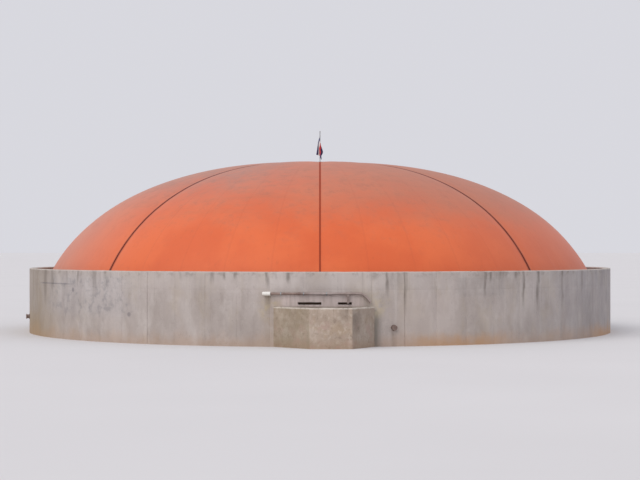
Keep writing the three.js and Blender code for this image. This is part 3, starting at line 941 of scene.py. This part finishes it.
def roughen_wall(bm, first):
    """Moves the cast faces by a few millimetres: form boards, their joints, the lift joint and the rim."""
    last = first + 360 / WALL_PIECES
    for vert in bm.verts:
        point = vert.co
        radius = hypot(point.x, point.y)
        azimuth = azimuth_of(point)
        azimuth += 360 * round(((first + last) / 2 - azimuth) / 360)
        if point.z > RIM - 0.05:
            point.z += 0.005 * noise.noise(point * 1.7) + 0.002 * noise.noise(point * 6)
        if radius < TANK_RADIUS - 0.001 or point.z > RIM - 0.01:
            continue
        board = (azimuth - first) / BOARD_ANGLE
        nearest = abs(board - round(board)) * BOARD_ANGLE
        out = 0.003 * noise.noise(point * 0.8) + 0.001 * noise.noise(point * 5)
        out += 0.0012 * noise.cell(Vector((int(board) + 0.5, first, 0.5))) - 0.001
        if nearest < JOINT_HALF * 0.5:
            out -= JOINT_DEPTH
        if abs(point.z - LIFT_JOINT) < 0.002:
            out -= LIFT_DEPTH
        if azimuth - first < EDGE_CHAMFER * 0.5 or last - azimuth < EDGE_CHAMFER * 0.5:
            out -= EDGE_DEPTH
        grow = 1 + min(out, 0.0015) / radius
        point.x *= grow
        point.y *= grow


def cut_slot(bm, slot):
    """Opens an overflow slot through the wall and breaks its edges a little."""
    low, high = SLOT_HEIGHTS
    inside = []
    for face in bm.faces:
        middle = face.calc_center_median()
        if slot[0] < azimuth_of(middle) < slot[1] and low < middle.z < high and abs(face.normal.z) < 0.5:
            inside.append(face)
    bmesh.ops.delete(bm, geom=inside, context="FACES")
    edges = open_edges(bm)
    mouth = {vert for edge in edges for vert in edge.verts}
    bmesh.ops.bridge_loops(bm, edges=edges)
    for vert in mouth:
        vert.co += Vector((0, 0, 0.012 * noise.noise(vert.co * 7)))


def make_outer_wall(material):
    sides = ["front", "front_right", "right", "back_right", "back", "back_left", "left", "front_left"]
    span = 360 / WALL_PIECES
    for index, side in enumerate(sides):
        first = CASTING_JOINT - span + index * span
        slots = slot_azimuths() if side == "front" else []
        bm = bmesh.new()
        spin_through(bm, wall_section(), wall_columns(first, slots))
        fill_ends(bm)
        bmesh.ops.recalc_face_normals(bm, faces=bm.faces)
        roughen_wall(bm, first)
        for slot in slots:
            cut_slot(bm, slot)
        piece(f"cast_wall_{side}", bm, material, [f"wall_{side}"])


def make_inner_wall(material):
    span = 90
    heights = [FLOOR_TOP, 1.2, 1.5, 1.65, 1.8, 1.95, 2.1, 2.22, INNER_WALL_TOP - 0.012]
    section = [(INNER_WALL_OUTSIDE, height) for height in heights]
    section += [(INNER_WALL_OUTSIDE - 0.012, INNER_WALL_TOP), (INNER_WALL_INSIDE + 0.012, INNER_WALL_TOP)]
    section += [(INNER_WALL_INSIDE, INNER_WALL_TOP - 0.012), (INNER_WALL_INSIDE, FLOOR_TOP)]
    gap = 0.001
    for index in range(4):
        first = CASTING_JOINT + index * span
        bm = bmesh.new()
        spin_through(bm, section, spaced(first + gap, first + span - gap, 60))
        fill_ends(bm)
        for vert in bm.verts:
            if vert.co.z > 1.0 and hypot(vert.co.x, vert.co.y) > INNER_WALL_OUTSIDE - 0.005:
                vert.co *= 1 - 0.0003 * (1 + noise.noise(vert.co * 1.5))
        piece(f"channel_wall_{index + 1}", bm, material, [f"inner_wall_{index + 1}"])


# Membrane dome

def section_at(turn):
    """The dome's section as radius and height. The turn is 0 at the top."""
    power = 2 / DOME_POWER
    return DOME_REACH * sin(turn) ** power, DOME_BASE + DOME_RISE * cos(turn) ** power


def turn_at_radius(radius):
    return asin((radius / DOME_REACH) ** (DOME_POWER / 2))


FOOT_TURN = acos(((INNER_WALL_TOP + 0.03 - DOME_BASE) / DOME_RISE) ** (DOME_POWER / 2))
CROWN_TURN = turn_at_radius(CROWN_RADIUS)
FOOT_RADIUS = section_at(FOOT_TURN)[0]


def climb_of(radius):
    """0 at the dome's foot and 1 at its crown."""
    turn = turn_at_radius(min(radius, FOOT_RADIUS))
    return (FOOT_TURN - turn) / (FOOT_TURN - CROWN_TURN)


def membrane_lift(point):
    """How far the skin stands out from the plain section: swell between belts, pinch and puckers."""
    radius = hypot(point.x, point.y)
    azimuth = azimuth_of(point)
    climb = climb_of(radius)
    off_belt = azimuth / GORE_ANGLE - round(azimuth / GORE_ANGLE)
    side = 1 - 2 * abs(off_belt)
    lift = GORE_BULGE * (1 - side * side) * sin(pi * climb)
    to_belt = abs(off_belt) * radians(GORE_ANGLE) * radius
    edge = ease(climb, 0, 0.03) * ease(climb, 1.0, 0.9)
    lift -= 0.016 * ease(to_belt, 0.42, 0.05) * edge
    lift += 0.018 * noise.noise(point * 0.33) * edge
    foot = ease(climb, 0.17, 0.0) * ease(climb, 0.0, 0.02)
    run = radians(azimuth) * FOOT_RADIUS
    lift += foot * 0.012 * noise.noise(Vector((run * 1.9, climb * 4, 1.0)))
    lift += foot * 0.008 * noise.noise(Vector((run * 4.6, climb * 9, 4.0)))
    crown = ease(climb, 0.86, 1.0) * ease(climb, 1.0, 0.985)
    lift += crown * 0.01 * noise.noise(Vector((azimuth * 0.16, climb * 6, 9.0)))
    beside = ease(to_belt, 0.9, 0.1) * edge
    lift += beside * 0.004 * noise.noise(Vector((to_belt * 3 + climb * 38, climb * 38, 14.0)))
    return lift


def gore_cut():
    """Width, length and area of a gore as it lies flat, its hem included."""
    width = (FOOT_RADIUS + HEM_REACH) * radians(GORE_ANGLE)
    length = HEM_REACH
    area = HEM_REACH * width
    places = [section_at(turn) for turn in spaced(FOOT_TURN, CROWN_TURN, 60)]
    for (radius, height), (next_radius, next_height) in zip(places, places[1:]):
        step = hypot(next_radius - radius, next_height - height)
        length += step
        area += step * (radius + next_radius) / 2 * radians(GORE_ANGLE)
    return width, length, area


def shape_membrane(bm):
    """Moves the skin out along its normals, all but the hem."""
    bmesh.ops.recalc_face_normals(bm, faces=bm.faces)
    bm.normal_update()
    moves = []
    for vert in bm.verts:
        outward = vert.normal if vert.normal.z > -0.2 else -vert.normal
        if hypot(vert.co.x, vert.co.y) < FOOT_RADIUS + 0.001:
            moves.append((vert, outward * membrane_lift(vert.co)))
    for vert, move in moves:
        vert.co += move


def make_gores(material):
    """Eight gores of coated fabric from the hem up to the crown."""
    hem_top = INNER_WALL_TOP + 0.012
    hem = [(FOOT_RADIUS + HEM_REACH, hem_top - 0.004), (FOOT_RADIUS + 0.06, hem_top)]
    hem += [(FOOT_RADIUS + 0.022, hem_top + 0.001), (FOOT_RADIUS + 0.006, hem_top + 0.007)]
    rise = [section_at(FOOT_TURN + (CROWN_TURN - FOOT_TURN) * part ** 1.12) for part in spaced(0, 1, 92)]
    width, length, area = gore_cut()
    for index in range(GORES):
        bm = bmesh.new()
        edges = (index * GORE_ANGLE, (index + 1) * GORE_ANGLE)
        spin_through(bm, hem + rise, spaced(*edges, 96), closed=False)
        shape_membrane(bm)
        bmesh.ops.solidify(bm, geom=bm.faces, thickness=HEM)
        made = piece(f"dome_gore_{index + 1}", bm, material, [f"membrane_gore_{index + 1}"])


def make_dome_crown(material):
    """The disc of fabric that closes the dome between the gores' upper ends."""
    bm = bmesh.new()
    crown = [section_at(turn_at_radius(max(radius, 1e-4))) for radius in spaced(CROWN_RADIUS, 0, 8)]
    spin_through(bm, crown, spaced(0, 360, 192), closed=False)
    bmesh.ops.remove_doubles(bm, verts=bm.verts, dist=2e-4)
    bmesh.ops.recalc_face_normals(bm, faces=bm.faces)
    bmesh.ops.solidify(bm, geom=bm.faces, thickness=HEM)
    made = piece("dome_crown", bm, material, ["membrane_crown"])


# Belts and what holds them

def belt_section():
    """A flat strap with soft edges, a little crowned. Y is away from the dome."""
    half = BELT_WIDTH / 2
    soft = BELT_THICKNESS / 2
    points = [(half, soft), (half - soft * 0.4, BELT_THICKNESS), (half * 0.5, BELT_THICKNESS * 1.1)]
    points += [(0, BELT_THICKNESS * 1.15)]
    mirrored = [(-x, y) for x, y in reversed(points[:-1])]
    return points + mirrored + [(-half + soft * 0.4, 0), (half - soft * 0.4, 0)]


def belt_frames(azimuth):
    """Frames along one belt, from the crown down to its anchor: X across it, Y out of the dome."""
    across = Vector((cos(radians(azimuth)), sin(radians(azimuth)), 0))
    away = around(1, azimuth, 0)
    places = []
    for turn in spaced(turn_at_radius(0.25), FOOT_TURN, 90):
        radius, height = section_at(turn)
        next_radius, next_height = section_at(turn + 1e-3)
        outward = (away * (height - next_height) + UP * (next_radius - radius)).normalized()
        point = away * radius + UP * height
        places.append((point + outward * (membrane_lift(point) + BELT_PLAY), outward))
    clamp_top = INNER_WALL_TOP + 0.034
    for reach, lean in ((0.03, 0.75), (0.06, 1.0), (0.112, 1.0)):
        outward = away * sqrt(1 - lean * lean) + UP * lean
        places.append((away * (FOOT_RADIUS + reach) + UP * clamp_top, outward))
    frames = []
    for point, outward in places:
        turn = Matrix((across, outward, across.cross(outward))).transposed().to_4x4()
        frames.append(Matrix.Translation(point) @ turn)
    return frames


def make_belts(material):
    for index in range(GORES):
        frames = belt_frames(index * GORE_ANGLE)
        bm = bmesh.new()
        rings = sweep(bm, belt_section(), frames)
        layer = bm.loops.layers.uv.new("belt")
        run = 0.0
        places = {}
        for number, ring in enumerate(rings):
            if number:
                run += (frames[number].translation - frames[number - 1].translation).length
            inverse = frames[number].inverted()
            for vert in ring:
                places[vert] = ((inverse @ vert.co).x / BELT_WIDTH + 0.5, run)
        fill_ends(bm)
        for face in bm.faces:
            for loop in face.loops:
                loop[layer].uv = places[loop.vert]
        piece(f"strap_{index + 1}", bm, material, [f"belt_{index + 1}"], sharp=50)


def make_belt_anchors(material):
    """A plate over the clamp bar at each belt, with a round bar that the belt is sewn round."""
    bm = bmesh.new()
    plate_bottom = INNER_WALL_TOP + 0.026
    plate = 0.008
    rod_out = 0.03
    for index in range(GORES):
        azimuth = index * GORE_ANGLE
        seat = upright(FOOT_RADIUS + 0.1, azimuth, plate_bottom)
        add_block(bm, seat, (0.2, 0.11, plate), 0.002)
        for side in (-1, 1):
            add_bolt(bm, seat @ Matrix.Translation((side * 0.075, 0, plate)), 0.008)
            ear = seat @ Matrix.Translation((side * 0.046, rod_out, plate))
            add_block(bm, ear, (0.008, 0.04, 0.035), 0.002)
        rod = seat @ Matrix.Translation((0, rod_out, 0.028)) @ Matrix.Rotation(pi / 2, 4, "Y")
        add_cylinder(bm, 12, 0.008, 0.13, rod)
    piece("belt_anchors", bm, material)


def make_clamp_bars(material):
    """Flat bars in short lengths over the hem, bolted down to the inner wall."""
    inner = FOOT_RADIUS + 0.04
    outer = inner + 0.08
    bottom = INNER_WALL_TOP + 0.0125
    top = bottom + 0.01
    rounding = 0.002
    section = [(inner, bottom), (outer, bottom), (outer, top - rounding), (outer - rounding, top)]
    section += [(inner + rounding, top), (inner, top - rounding)]
    bars = 16
    bolts = 4
    span = 90 / bars
    gap = 0.02
    for quadrant in range(4):
        bm = bmesh.new()
        for bar in range(bars):
            first = quadrant * 90 + bar * span
            spin_through(bm, section, spaced(first + gap, first + span - gap, 6))
            for bolt in range(bolts):
                azimuth = first + span * (bolt + 0.5) / bolts
                add_bolt(bm, upright((inner + outer) / 2, azimuth, top), 0.008)
        fill_ends(bm)
        piece(f"hem_clamps_{quadrant + 1}", bm, material, [f"clamp_bar_{quadrant + 1}"])


def make_crown_disc(material):
    """The plate over the belts' inner ends, with its two rings of bolts."""
    low, high = (corner.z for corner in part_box("crown_plate"))
    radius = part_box("crown_plate")[1].x
    bm = bmesh.new()
    turned(bm, ring_section(0, radius, low, high, 0.003), 96, Matrix.Identity(4))
    add_bolt_circle(bm, radius - 0.06, high, 24, 0.009)
    add_bolt_circle(bm, radius * 0.45, high, 8, 0.009)
    piece("crown_disc", bm, material, ["crown_plate"])


def make_mast(material):
    """A tube with a bolted foot, a turned knob on top and two hooks for the flag."""
    low, high = (corner.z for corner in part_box("flag_mast"))
    tube = 0.02
    neck = 0.012
    foot = 0.012
    bm = bmesh.new()
    section = ring_section(0, 0.09, low, low + foot, 0.002)[:-1]
    section += [(0.034, low + foot), (0.024, low + foot + 0.012), (tube, low + foot + 0.02)]
    section += [(tube, high - 0.05), (neck, high - 0.046), (neck, high - 0.04), (0.02, high - 0.034)]
    section += [(0.026, high - 0.02), (0.02, high - 0.006), (0, high)]
    turned(bm, section, 32, Matrix.Identity(4))
    add_bolt_circle(bm, 0.068, low + foot, 4, 0.006)
    hook = [(0, 0), (0.004, 0), (0.004, 0.014), (0.007, 0.017), (0.004, 0.022), (0, 0.023)]
    top_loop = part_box("flag")[1].z - 0.012
    for height in (top_loop, top_loop - FLAG_HOIST):
        turned(bm, hook, 10, facing(Vector((-tube, 0, height)), Vector((-1, 0, 0))))
    piece("mast", bm, material, ["flag_mast"])


# Flag

FLAG_HOIST = 0.52
FLAG_FLY = 0.8
HANG_FRAMES = 60
CLOTH_THICKNESS = 0.0012

# How the flag's cloth behaves while it hangs
HANGING = {
    "quality": 8,
    "mass": 0.12,
    "tension_stiffness": 25,
    "compression_stiffness": 25,
    "shear_stiffness": 8,
    "bending_stiffness": 0.02,
    "air_damping": 2,
    "vertex_group_mass": "hoist",
}


def hang(cloth_piece):
    """Lets the cloth fall under its own weight, held along its hoist, and keeps the shape it takes."""
    scene = bpy.context.scene
    cloth = cloth_piece.modifiers.new("hang", "CLOTH")
    for setting, value in HANGING.items():
        setattr(cloth.settings, setting, value)
    cloth.collision_settings.use_self_collision = True
    cloth.collision_settings.self_distance_min = 0.004
    for number in range(HANG_FRAMES):
        scene.frame_set(number + 1)
    evaluated = cloth_piece.evaluated_get(bpy.context.evaluated_depsgraph_get())
    hung = bpy.data.meshes.new_from_object(evaluated)
    cloth_piece.modifiers.clear()
    cloth_piece.data = hung
    scene.frame_set(1)


def make_flag(material):
    """A small flag that hangs limp from the mast."""
    hoist_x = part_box("flag")[1].x - 0.004
    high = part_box("flag")[1].z - 0.01
    bm = bmesh.new()
    uv = bm.loops.layers.uv.new("cut")
    bmesh.ops.create_grid(bm, x_segments=34, y_segments=22, size=0.5)
    for face in bm.faces:
        for loop in face.loops:
            loop[uv].uv = (loop.vert.co.x + 0.5, loop.vert.co.y + 0.5)
    for vert in bm.verts:
        fly = vert.co.x + 0.5
        drop = 0.5 - vert.co.y
        fold = 0.35 * fly * sin(fly * 17 + drop * 2.0)
        vert.co = Vector((hoist_x - fly * FLAG_FLY * 0.9, fold * 0.13, high - drop * FLAG_HOIST - fly * 0.1))
    made = piece("limp_flag", bm, material, ["flag"], sharp=180)
    pinned = made.vertex_groups.new(name="hoist")
    pinned.add([v.index for v in made.data.vertices if v.co.x > hoist_x - 1e-4], 1.0, "REPLACE")
    hang(made)
    made.vertex_groups.clear()
    made.modifiers.new("cloth_thickness", "SOLIDIFY").thickness = CLOTH_THICKNESS


# Overflow chamber

def cut_in_courses(bm, normal, start, stop, spacing):
    """Cuts a block by parallel planes, so that its faces can take a rough shape."""
    count = max(int((stop - start) / spacing), 1)
    for level in spaced(start, stop, count)[1:-1]:
        everything = bm.verts[:] + bm.edges[:] + bm.faces[:]
        bmesh.ops.bisect_plane(bm, geom=everything, plane_co=normal * level, plane_no=normal, dist=1e-5)


def chamber_walls(outer, inner, material):
    """The chamber's front and sides as one casting, from two lines in plan, worn and uneven."""
    bm = bmesh.new()
    rails = [[bm.verts.new((x, y, 0)) for x, y in line] for line in (outer, inner)]
    base = []
    for k in range(len(outer) - 1):
        base.append(bm.faces.new((rails[0][k], rails[0][k + 1], rails[1][k + 1], rails[1][k])))
    grown = bmesh.ops.extrude_face_region(bm, geom=base)["geom"]
    bmesh.ops.translate(bm, vec=(0, 0, CHAMBER_TOP), verts=verts_in(grown))
    bmesh.ops.recalc_face_normals(bm, faces=bm.faces)
    arrises = [edge for edge in bm.edges if edge.calc_face_angle(0) > radians(20)]
    worn = [edge for edge in arrises if max(vert.co.z for vert in edge.verts) > 0.1]
    soften(bm, worn, 0.014)
    cut_in_courses(bm, UP, 0, CHAMBER_TOP, 0.09)
    cut_in_courses(bm, Vector((1, 0, 0)), CHAMBER_BACK_X[0] - 0.2, CHAMBER_BACK_X[1] + 0.2, 0.09)
    cut_in_courses(bm, Vector((0, 1, 0)), CHAMBER_FRONT, -TANK_RADIUS + 0.2, 0.09)
    bmesh.ops.recalc_face_normals(bm, faces=bm.faces)
    bm.normal_update()
    moves = []
    for vert in bm.verts:
        if vert.co.z > 0.001 and hypot(vert.co.x, vert.co.y) > TANK_RADIUS + 0.02:
            depth = 0.006 * noise.noise(vert.co * 2.1) + 0.003 * noise.noise(vert.co * 8)
            moves.append((vert, vert.normal * (depth - 0.005)))
    for vert, move in moves:
        vert.co += move
    nodes = ["chamber_front", "chamber_left", "chamber_right"]
    piece("chamber_casting", bm, material, nodes, sharp=40)


def chamber_end(side, inset):
    """Where a face of the chamber's side meets the tank, let into its skin by a few millimetres."""
    reach = 0.0
    for _ in range(8):
        reach = sqrt((TANK_RADIUS - 0.004) ** 2 - chamber_x(side, reach, inset) ** 2) - TANK_RADIUS
    return chamber_x(side, reach, inset), -TANK_RADIUS - reach


def make_chamber(material):
    outer = [(x, CHAMBER_FRONT) for x in CHAMBER_FRONT_X]
    inner_y = CHAMBER_FRONT + CHAMBER_WALL
    inner = [(chamber_x(side, CHAMBER_INSIDE, CHAMBER_WALL), inner_y) for side in (0, 1)]
    lines = []
    for corners, inset in ((outer, 0), (inner, CHAMBER_WALL)):
        lines.append([chamber_end(0, inset), *corners, chamber_end(1, inset)])
    chamber_walls(*lines, material)


def make_chamber_liquid(material):
    """A thin slab with a still top, let into the walls round it."""
    lap = 0.01
    into = CHAMBER_WALL - lap
    right, left = (chamber_end(side, into) for side in (1, 0))
    corners = [(chamber_x(side, CHAMBER_INSIDE + lap, into), CHAMBER_FRONT + into) for side in (0, 1)]
    by_tank = [(x, -sqrt((TANK_RADIUS - lap) ** 2 - x * x)) for x in spaced(right[0], left[0], 8)[1:-1]]
    edge = [*corners, right, *by_tank, left]
    depth = 0.02
    bm = bmesh.new()
    face = bm.faces.new([bm.verts.new((x, y, CHAMBER_LIQUID - depth)) for x, y in edge])
    grown = bmesh.ops.extrude_face_region(bm, geom=[face])["geom"]
    bmesh.ops.translate(bm, vec=(0, 0, depth), verts=verts_in(grown))
    piece("chamber_liquid", bm, material)


def make_channel_liquid(material):
    bm = bmesh.new()
    inner = INNER_WALL_OUTSIDE + 0.001
    outer = WALL_INSIDE - 0.001
    section = [(inner, WATER_LEVEL - 0.03), (outer, WATER_LEVEL - 0.03), (outer, WATER_LEVEL)]
    section += [((inner + outer) / 2, WATER_LEVEL), (inner, WATER_LEVEL)]
    spin_through(bm, section, spaced(0, 360, 240))
    bmesh.ops.remove_doubles(bm, verts=bm.verts, dist=1e-4)
    piece("channel_liquid", bm, material)


# Pipe on the wall

PIPE_ENDS = (-1.78, 1.4)
SOCKET_RADIUS = PIPE_RADIUS + 0.009


def pipe_azimuth(x):
    return degrees(asin(x / PIPE_AXIS))


def add_tube(bm, points):
    sweep(bm, circle(PIPE_RADIUS, 24), frames_along(points))


def add_collar(bm, centre, along, radius, length):
    """A socket or collar round a pipe, with a softened lip at both ends."""
    turned(bm, ring_section(0, radius, -length / 2, length / 2, 0.004), 28, facing(centre, along))


def make_pipe_run(material):
    """The level run, bent round the wall, in three lengths joined by sockets."""
    azimuths = spaced(pipe_azimuth(PIPE_ENDS[0]), pipe_azimuth(PIPE_ENDS[1]), 40)
    path = [around(PIPE_AXIS, azimuth, PIPE_HEIGHT) for azimuth in azimuths]
    bm = bmesh.new()
    add_tube(bm, path)
    for number in (13, 27):
        add_collar(bm, path[number], path[number + 1] - path[number], SOCKET_RADIUS, 0.1)
    fill_ends(bm)
    piece("wall_pipe", bm, material, ["pipe_run"])


def grow_rim(bm, edges):
    """Extrudes open edges and returns their new vertices, to be moved."""
    return verts_in(bmesh.ops.extrude_edge_only(bm, edges=edges)["geom"])


def make_pipe_bend(material):
    """The bend, from the run's end down to its open mouth."""
    start = around(PIPE_AXIS, pipe_azimuth(PIPE_ENDS[1]), PIPE_HEIGHT)
    heading = heading_at(start)
    corner = start + heading * 0.21
    end_x = 1.82
    end = Vector((end_x, -sqrt(PIPE_AXIS ** 2 - end_x ** 2), 1.59))
    curve = []
    for part in spaced(0, 1, 18):
        curve.append(start * (1 - part) ** 2 + corner * (2 * part * (1 - part)) + end * part ** 2)
    bm = bmesh.new()
    add_tube(bm, curve)
    lip = grow_rim(bm, [edge for edge in open_edges(bm) if (edge.verts[0].co - end).length < 0.08])
    bmesh.ops.scale(bm, vec=(0.88,) * 3, space=Matrix.Translation(-end), verts=lip)
    bore = grow_rim(bm, [edge for edge in open_edges(bm) if all(vert in lip for vert in edge.verts)])
    bmesh.ops.translate(bm, vec=(curve[-2] - end).normalized() * 0.09, verts=bore)
    add_collar(bm, start + heading * 0.05, heading, SOCKET_RADIUS, 0.1)
    fill_ends(bm)
    piece("wall_pipe_bend", bm, material, ["pipe_bend"])


def make_pipe_cap(material):
    """The white cap with its moulded ribs."""
    low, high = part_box("pipe_cap")
    centre = (low + high) / 2
    seat = facing(centre, heading_at(centre))
    half = 0.15
    section = [(0, -half), (0.05, -half), (0.068, -half + 0.012), (0.072, -half + 0.03)]
    section += [(0.072, half - 0.07), (0.075, half - 0.065), (0.075, half - 0.008), (0.069, half)]
    section += [(0.046, half), (0.046, half - 0.03), (0, half - 0.03)]
    bm = bmesh.new()
    turned(bm, section, 40, seat)
    for rib in spread_round(seat, 12, (0.0705, 0, -0.05)):
        add_block(bm, rib, (0.008, 0.008, 0.11), 0.0015)
    piece("pipe_end_cap", bm, material, ["pipe_cap"])


def make_drop_leg(material):
    """The leg from the run down to the right slot, open below, with its saddle on the run."""
    low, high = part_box("pipe_drop_leg")
    foot = Vector(((low.x + high.x) / 2, (low.y + high.y) / 2, low.z))
    top = PIPE_HEIGHT - PIPE_RADIUS * 0.9
    length = top - foot.z
    section = [(0, 0.06), (0.033, 0.06), (0.033, 0), (0.038, 0), (0.038, length), (0, length)]
    bm = bmesh.new()
    turned(bm, section, 24, Matrix.Translation(foot))
    saddle = around(PIPE_AXIS, azimuth_of(foot), PIPE_HEIGHT)
    add_collar(bm, saddle, heading_at(foot), PIPE_RADIUS + 0.01, 0.16)
    add_collar(bm, Vector((foot.x, foot.y, top - 0.035)), UP, 0.047, 0.07)
    piece("pipe_leg", bm, material, ["pipe_drop_leg"])


def make_pipe_clips(material):
    """Clips: a strap round the pipe on a bolted foot."""
    play = 0.0005
    inner, outer = PIPE_RADIUS + play, PIPE_RADIUS + 0.0085
    strap = ring_section(inner, outer, -0.02, 0.02, 0.001)
    wall_face = TANK_RADIUS + play
    plate = 0.007
    for index in range(3):
        low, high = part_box(f"pipe_clip_{index + 1}")
        azimuth = azimuth_of((low + high) / 2)
        centre = around(PIPE_AXIS, azimuth, PIPE_HEIGHT)
        bm = bmesh.new()
        turned(bm, strap, 40, facing(centre, heading_at(centre)), closed=True)
        seat = on_wall(wall_face, azimuth, PIPE_HEIGHT)
        add_block(bm, seat, (0.04, 0.13, plate), 0.0015)
        add_block(bm, seat, (0.014, 0.03, PIPE_AXIS - wall_face - outer + 0.002), 0.002)
        for side in (-1, 1):
            add_bolt(bm, seat @ Matrix.Translation((0, side * 0.045, plate)), 0.005)
        piece(f"pipe_strap_{index + 1}", bm, material, [f"pipe_clip_{index + 1}"])


def port_seats():
    return [on_wall(TANK_RADIUS - 0.004, azimuth, PORT_HEIGHT) for azimuth in PORT_AZIMUTHS]


def make_drain_stubs(material):
    """Flanged stubs low on the wall, each closed by a cap with grips round it."""
    section = ring_section(0, 0.11, 0, 0.02, 0.002)[:-2] + [(0.107, 0.021), (0.084, 0.021), (0.08, 0.026)]
    section += [(0.08, 0.105), (0.094, 0.106), (0.096, 0.109), (0.096, 0.148), (0.09, 0.154)]
    section += [(0.03, 0.154), (0.03, 0.15), (0, 0.15)]
    for index, seat in enumerate(port_seats()):
        bm = bmesh.new()
        turned(bm, section, 40, seat)
        for grip in spread_round(seat, 8, (0.096, 0, 0.114)):
            add_block(bm, grip, (0.008, 0.014, 0.03), 0.002)
        piece(f"drain_stub_{index + 1}", bm, material, [f"drain_port_{index + 1}"])


def make_drain_bolts(material):
    bm = bmesh.new()
    for seat in port_seats():
        for stud in spread_round(seat, 4, (0.095, 0, 0.02), 0.5):
            add_bolt(bm, stud, 0.005)
    piece("drain_stub_bolts", bm, material)


# Floor, light and camera

def make_stage(material):
    bm = bmesh.new()
    bmesh.ops.create_circle(bm, cap_ends=True, segments=96, radius=900)
    floor = add_object("floor", bm, material)


def make_light():
    world = bpy.data.worlds.new("studio")
    world.use_nodes = True
    background = world.node_tree.nodes["Background"]
    background.inputs["Color"].default_value = (0.86, 0.86, 0.92, 1)
    background.inputs["Strength"].default_value = 0.8
    bpy.context.scene.world = world
    for name, azimuth, elevation, strength, spread, colour in (
        ("key", -48, 42, 1.1, 50, (1.0, 0.97, 0.94)),
        ("fill", 60, 30, 0.25, 80, (0.9, 0.93, 1.0)),
    ):
        light = bpy.data.lights.new(name, "SUN")
        light.energy = strength
        light.angle = radians(spread)
        light.color = colour
        toward = around(cos(radians(elevation)), azimuth, sin(radians(elevation)))
        put_in_scene(name, light).rotation_euler = toward.to_track_quat("Z", "Y").to_euler()


# The photograph was taken from this far in front of the tank's axis and this far above its foot.
CAMERA_DISTANCE = 70
CAMERA_HEIGHT = 3.6


def make_camera():
    camera = bpy.data.cameras.new("camera")
    camera.lens = 90
    camera.sensor_width = 36
    camera.clip_end = 3000
    made = put_in_scene("camera", camera)
    made.location = (0, -CAMERA_DISTANCE, CAMERA_HEIGHT)
    aim = Vector((0, 0, 3.9)) - made.location
    made.rotation_euler = aim.to_track_quat("-Z", "Y").to_euler()
    bpy.context.scene.camera = made


make_camera()
make_light()
make_stage(floor_paint())

steel = steel_paint()
dark_plastic = pipe_paint()
effluent = effluent_paint()
membrane = membrane_paint()
channel_concrete = inner_wall_paint()
make_outer_wall(wall_paint())
make_inner_wall(channel_concrete)
make_channel_liquid(effluent)
make_gores(membrane)
make_dome_crown(membrane)
make_belts(webbing_paint())
make_belt_anchors(steel)
make_clamp_bars(steel)
make_crown_disc(steel)
make_mast(steel)
make_flag(flag_paint())
make_chamber(chamber_paint())
make_chamber_liquid(effluent)
make_pipe_run(dark_plastic)
make_pipe_bend(dark_plastic)
make_pipe_cap(cap_paint())
make_drop_leg(dark_plastic)
make_pipe_clips(steel)
make_drain_stubs(dark_plastic)
make_drain_bolts(steel)
for node in ("tank_floor", "chamber_floor"):
    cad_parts[node].data.materials.clear()
    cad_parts[node].data.materials.append(channel_concrete)

bpy.context.scene.view_settings.view_transform = "Standard"
